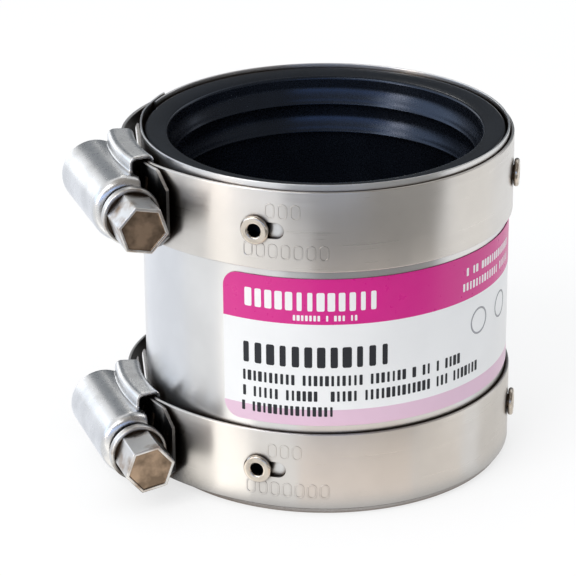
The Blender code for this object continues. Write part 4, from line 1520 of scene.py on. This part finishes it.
def print_row(name, start, end, low, high, pitch, gaps, seed, ink):
    """One row of print, rolled onto the label."""
    values = {
        "Count": int((end - start) / pitch),
        "Start": start + pitch / 2.0,
        "Pitch": pitch,
        "Block Width": pitch * PRINT_FILL,
        "Block Height": high - low,
        "Round": pitch * PRINT_ROUND,
        "Relief": PRINT_RELIEF,
        "Gaps": gaps,
        "Narrowest": PRINT_NARROWEST,
        "Seed": seed,
        "Material": ink,
    }
    return rolled_print(tree_object(name, row_of_blocks, values), (low + high) / 2.0)


def ring_mark(name, along, height, radius, width, ink):
    """A plain printed ring, rolled onto the label."""
    section = [(radius, 0.0), (radius, PRINT_RELIEF), (radius - width, PRINT_RELIEF), (radius - width, 0.0)]
    ring = turned(name, section, MARK_STEPS)
    ring.data.transform(Matrix.Translation((along, 0.0, 0.0)))
    set_material(ring, ink)
    return rolled_print(ring, height)


def label_print():
    """All the print: plain blocks and rings in the places of the words and marks."""
    inks = {
        "dark": print_material("dark print", finishes().ink, 0.42, 0.22),
        "white": print_material("white print", WHITE_PRINT, 0.38),
    }
    grey = print_material("grey print", GREY_PRINT, 0.42)
    pieces = []
    for name, *places, gaps, seed, ink in PRINT_ROWS:
        pieces.append(print_row(name, *[place * MM for place in places], gaps, seed, inks[ink]))
    for number, along in enumerate(MARK_PLACES):
        pieces.append(ring_mark(f"mark_{number}", along, MARK_HEIGHT, MARK_RADIUS, MARK_LINE, grey))
    return pieces


class COUPLING_OT_label(bpy.types.Operator):
    """Build the printed label"""

    bl_idname = "coupling.label"
    bl_label = "Label"

    def execute(self, context):
        stations = label_stations()
        label = swept("label_film", [label_ring(along) for along in stations], stations)
        look = finishes()
        set_material(
            label,
            print_material("white film", WHITE_FILM, 0.28),
            print_material("magenta print", look.magenta, 0.26),
            print_material("pink print", look.pink, 0.28),
        )
        for face in label.data.polygons:
            height = face.center.z
            if height > MAGENTA_LOW:
                face.material_index = 1
            elif height < PINK_HIGH:
                face.material_index = 2
        smooth(label)
        joined(label, label_print())
        seat(label, BODY, "printed_label", "label")
        return {"FINISHED"}


# The studio.

CAMERA_TILT = 0.3963
CAMERA_AZIMUTH = math.radians(-19.0)
CAMERA_ROLL = -0.0075
CAMERA_DISTANCE = 448.51 * MM
CAMERA_AIM_HEIGHT = 25.618 * MM
CAMERA_SIDE = -6.004 * MM
CAMERA_LENS = 174.78
SENSOR_WIDTH = 36.0
CAMERA_CLIP = (0.01, 20.0)
KEY_AZIMUTH = math.radians(-40.0)
KEY_ELEVATION = math.radians(42.0)
KEY_DISTANCE = 0.7
KEY_SIZE = 0.4
KEY_POWER = 2.0
KEY_COLOUR = (1.0, 0.98, 0.95)
WORLD_STRENGTH = 0.95
WORLD_COLOUR = (0.95, 0.975, 1.0)
CARD_STEPS = 24
CARD_LIFT = 0.2 * MM
CARD_SLOPE = 0.02
CARD_SIGHT = 100.0
FLOOR_REACH = 1.5
FLOOR_TOP = -0.05 * MM
FLOOR_FOOT = -2.0 * MM
FLOOR_GLOW = 0.7
FLOOR_COLOUR = (0.80, 0.785, 0.76)
FLOOR_ROUGHNESS = 0.9
FLOOR_WHITENESS = 0.95
PALE = (1.0, 0.985, 0.96)
WARM = (1.0, 0.97, 0.92)
BROWN = (1.0, 0.92, 0.84)
COOL = (0.85, 0.92, 1.0)

# Cards on the floor: name, first and last bearing, near and far distance in mm, strength,
# colour, and whether they light the part too.
FLOOR_CARDS = (
    ("grey card", -4.5, 35.5, 46.0, 112.0, 0.32, PALE, True),
    ("dark card", -13.0, 37.0, 112.0, 700.0, 0.22, PALE, True),
    ("beige card", -9.0, 27.0, 3.0, 46.0, 1.06, (1.0, 0.90, 0.82), False),
    ("bright card", -34.5, -28.0, 3.0, 90.0, 1.85, WARM, False),
    ("far bright card", -33.0, -29.0, 90.0, 500.0, 1.15, WARM, False),
    ("near left card", -46.0, -34.5, 3.0, 20.0, 1.4, WARM, False),
    ("far right card", 54.0, 80.0, 3.0, 60.0, 0.82, (1.0, 0.97, 0.93), False),
    ("near bright card", -28.0, -24.0, 3.0, 45.0, 1.8, WARM, False),
    ("left card", -27.0, -9.0, 3.0, 112.0, 1.06, PALE, False),
    ("right card", 41.0, 60.0, 60.0, 500.0, 1.12, PALE, False),
    ("near right card", 28.0, 46.0, 3.0, 60.0, 1.0, (1.0, 0.94, 0.88), False),
    ("cool card", -80.0, -50.0, 3.0, 500.0, 1.06, (0.95, 0.98, 1.04), False),
)

# Standing cards: name, first and last heading, the foot's and the head's distance from the
# pipe's axis and height, strength and colour.
STANDING_CARDS = (
    ("back card", -151.0, -130.0, (0.6, -0.01), (0.6, 0.21), 1.95, (0.96, 0.98, 1.0)),
    ("rear lamp", 183.5, 188.5, (0.7, 0.47), (0.7, 0.58), 9.0, WARM),
    ("side lamp", -64.0, -53.0, (0.7, 0.14), (0.7, 0.31), 11.0, (1.0, 0.86, 0.76)),
    ("side window", -128.0, -64.0, (0.7, 0.12), (0.7, 0.33), 2.0, (0.72, 0.83, 1.0)),
    ("front window", -53.0, 22.0, (0.48, 0.13), (0.48, 0.23), 1.8, (0.42, 0.60, 1.0)),
    ("front flag", -46.0, 110.0, (0.5, 0.09), (0.5, 1.3), 0.28, BROWN),
    ("overhead flag", -180.0, 180.0, (0.5, 1.3), (0.01, 1.3), 0.35, BROWN),
    ("dark backdrop", 150.0, 214.0, (0.8, 0.0), (0.8, 0.8), 0.28, COOL),
    ("low dark backdrop", 120.0, 208.0, (0.78, -0.01), (0.78, 0.26), 0.17, COOL),
)


def studio_turn(vector):
    """Turn a vector given in the camera's heading into the part's frame."""
    return Matrix.Rotation(CAMERA_AZIMUTH, 3, "Z") @ Vector(vector)


def heading(turn):
    """The level way at a turn from the camera's own heading."""
    return Vector((math.sin(turn), -math.cos(turn), 0.0))


def add_camera():
    """The camera at the photograph's viewpoint."""
    data = bpy.data.cameras.new("camera")
    data.lens = CAMERA_LENS
    data.sensor_width = SENSOR_WIDTH
    data.clip_start, data.clip_end = CAMERA_CLIP
    camera = link(bpy.data.objects.new("camera", data))
    away = CAMERA_DISTANCE * math.cos(CAMERA_TILT)
    above = CAMERA_AIM_HEIGHT + CAMERA_DISTANCE * math.sin(CAMERA_TILT)
    camera.location = studio_turn((CAMERA_SIDE, -away, above)) + Vector((AXIS_X, 0.0, 0.0))
    turns = ((CAMERA_AZIMUTH, "Z"), (math.pi / 2.0 - CAMERA_TILT, "X"), (CAMERA_ROLL, "Z"))
    azimuth, tilt, roll = (Matrix.Rotation(turn, 3, axis) for turn, axis in turns)
    camera.rotation_euler = (azimuth @ tilt @ roll).to_euler()
    bpy.context.scene.camera = camera


def add_key():
    """The soft key light, aimed at the part."""
    data = bpy.data.lights.new("key", "AREA")
    data.shape = "SQUARE"
    data.size = KEY_SIZE
    data.energy = KEY_POWER
    data.color = KEY_COLOUR
    lamp = link(bpy.data.objects.new("key", data))
    back = heading(KEY_AZIMUTH) * math.cos(KEY_ELEVATION) + Vector((0.0, 0.0, math.sin(KEY_ELEVATION)))
    aim = Vector((AXIS_X, 0.0, CAMERA_AIM_HEIGHT))
    lamp.location = aim + studio_turn(back) * KEY_DISTANCE
    lamp.rotation_euler = (aim - lamp.location).to_track_quat("-Z", "Y").to_euler()


def backdrop_rays(tree):
    """1 for the rays that should find a white background: seen, mirrored or let through."""
    rays = tree.nodes.new("ShaderNodeLightPath")
    mirrored = math_node(tree, "MAXIMUM", rays.outputs["Is Glossy Ray"], rays.outputs["Is Transmission Ray"])
    return math_node(tree, "MAXIMUM", rays.outputs["Is Camera Ray"], mirrored)


def world_light():
    """A pale even surrounding, white behind the part."""
    world = bpy.data.worlds.new("studio")
    bpy.context.scene.world = world
    world.use_nodes = True
    tree = world.node_tree
    fill_light = tree.nodes["Background"]
    fill(tree, fill_light, "Color", shaded(WORLD_COLOUR))
    fill(tree, fill_light, "Strength", WORLD_STRENGTH)
    white = put(tree, "ShaderNodeBackground", Color=shaded(WHITE))
    mix = mixed_shader(tree, backdrop_rays(tree), fill_light, white)
    tree.links.new(mix.outputs[0], tree.nodes["World Output"].inputs["Surface"])


def floor_material():
    """A plain pale floor that is white to the camera and keeps the part's shadow."""
    material, tree, shader = new_material("pale floor")
    fill(tree, shader, "Base Color", shaded(FLOOR_COLOUR))
    fill(tree, shader, "Roughness", FLOOR_ROUGHNESS)
    glow = put(tree, "ShaderNodeEmission", Color=shaded(WHITE), Strength=1.0)
    bright = put(tree, "ShaderNodeBsdfDiffuse", Color=shaded(WHITE, FLOOR_WHITENESS))
    seen = mixed_shader(tree, FLOOR_GLOW, bright, glow)
    mix = mixed_shader(tree, backdrop_rays(tree), shader, seen)
    tree.links.new(mix.outputs[0], tree.nodes["Material Output"].inputs["Surface"])
    return material


def card_turns(start, end):
    """Turns at even steps between two headings in degrees."""
    return [math.radians(start + (end - start) * step / CARD_STEPS) for step in range(CARD_STEPS + 1)]


def floor_card_spots(start, end, near, far):
    """The near and far edge of what the pipe's face mirrors on the floor between two bearings."""
    pairs = []
    for turn in card_turns(start, end):
        pair = []
        for distance, height in ((near, CARD_LIFT), (far, CARD_LIFT + CARD_SLOPE * far)):
            level = heading(turn) * BAND_OUTER + heading(2.0 * turn) * distance
            pair.append(Vector((AXIS_X, 0.0, height)) + studio_turn(level))
        pairs.append(pair)
    return pairs


def standing_card_spots(start, end, foot, head):
    """The foot and the head of a curved card between two headings about the part."""
    ways = [studio_turn(heading(turn)) for turn in card_turns(start, end)]
    return [[Vector((AXIS_X, 0.0, height)) + way * reach for reach, height in (foot, head)] for way in ways]


def add_card(name, pairs, sight, strength, colour, soft=False):
    """A card for reflections only, which glows where it faces a point at a height on the pipe's axis.

    Diffuse surfaces see it only if it is soft, and the camera never does.
    """
    bm = bmesh.new()
    skin(bm, [[bm.verts.new(spot) for spot in pair] for pair in pairs], closed=False)
    for face in bm.faces:
        face.normal_update()
        if face.normal.dot(Vector((AXIS_X, 0.0, sight)) - face.calc_center_median()) < 0.0:
            face.normal_flip()
    card = mesh_object(name, bm)
    material, tree, _ = new_material(name)
    glow = put(tree, "ShaderNodeEmission", Color=shaded(colour), Strength=strength)
    clear = tree.nodes.new("ShaderNodeBsdfTransparent")
    side = tree.nodes.new("ShaderNodeNewGeometry").outputs["Backfacing"]
    mix = mixed_shader(tree, side, glow, clear)
    tree.links.new(mix.outputs[0], tree.nodes["Material Output"].inputs["Surface"])
    set_material(card, material)
    card.visible_camera = False
    card.visible_diffuse = soft
    card.visible_shadow = False


class COUPLING_OT_stage(bpy.types.Operator):
    """Build the floor, the lights, the reflection cards and the camera"""

    bl_idname = "coupling.stage"
    bl_label = "Studio"

    def execute(self, context):
        floor = box_between(
            "floor", (-FLOOR_REACH, -FLOOR_REACH, FLOOR_FOOT), (FLOOR_REACH, FLOOR_REACH, FLOOR_TOP)
        )
        set_material(floor, floor_material())
        world_light()
        for name, start, end, near, far, strength, colour, soft in FLOOR_CARDS:
            pairs = floor_card_spots(start, end, near * MM, far * MM)
            add_card(name, pairs, CARD_SIGHT, strength, colour, soft)
        for name, start, end, foot, head, strength, colour in STANDING_CARDS:
            add_card(name, standing_card_spots(start, end, foot, head), 0.0, strength, colour)
        add_key()
        add_camera()
        context.scene.view_settings.view_transform = "Standard"
        return {"FINISHED"}


STEPS = ("sleeve", "shield", "label", "bands", "housings", "screws", "rivets", "stage")


class COUPLING_PT_pieces(bpy.types.Panel):
    """The coupling's pieces in the sidebar"""

    bl_label = "Shielded Coupling"
    bl_idname = "COUPLING_PT_pieces"
    bl_space_type = "VIEW_3D"
    bl_region_type = "UI"
    bl_category = "Coupling"

    def draw(self, context):
        column = self.layout.column()
        for step in STEPS:
            column.operator("coupling." + step)


CLASSES = (
    CouplingSizes,
    CouplingFinishes,
    COUPLING_OT_sleeve,
    COUPLING_OT_shield,
    COUPLING_OT_label,
    COUPLING_OT_bands,
    COUPLING_OT_housings,
    COUPLING_OT_screws,
    COUPLING_OT_rivets,
    COUPLING_OT_stage,
    COUPLING_PT_pieces,
)


def register():
    """Register the classes and the settings that they use."""
    for item in CLASSES:
        bpy.utils.register_class(item)
    bpy.types.Scene.coupling_sizes = PointerProperty(type=CouplingSizes)
    bpy.types.Scene.coupling_finishes = PointerProperty(type=CouplingFinishes)


def unregister():
    """Undo register."""
    del bpy.types.Scene.coupling_finishes
    del bpy.types.Scene.coupling_sizes
    for item in reversed(CLASSES):
        bpy.utils.unregister_class(item)


def main():
    """Build every piece."""
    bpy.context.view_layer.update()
    register()
    for step in STEPS:
        getattr(bpy.ops.coupling, step)()


if __name__ == "__main__":
    main()
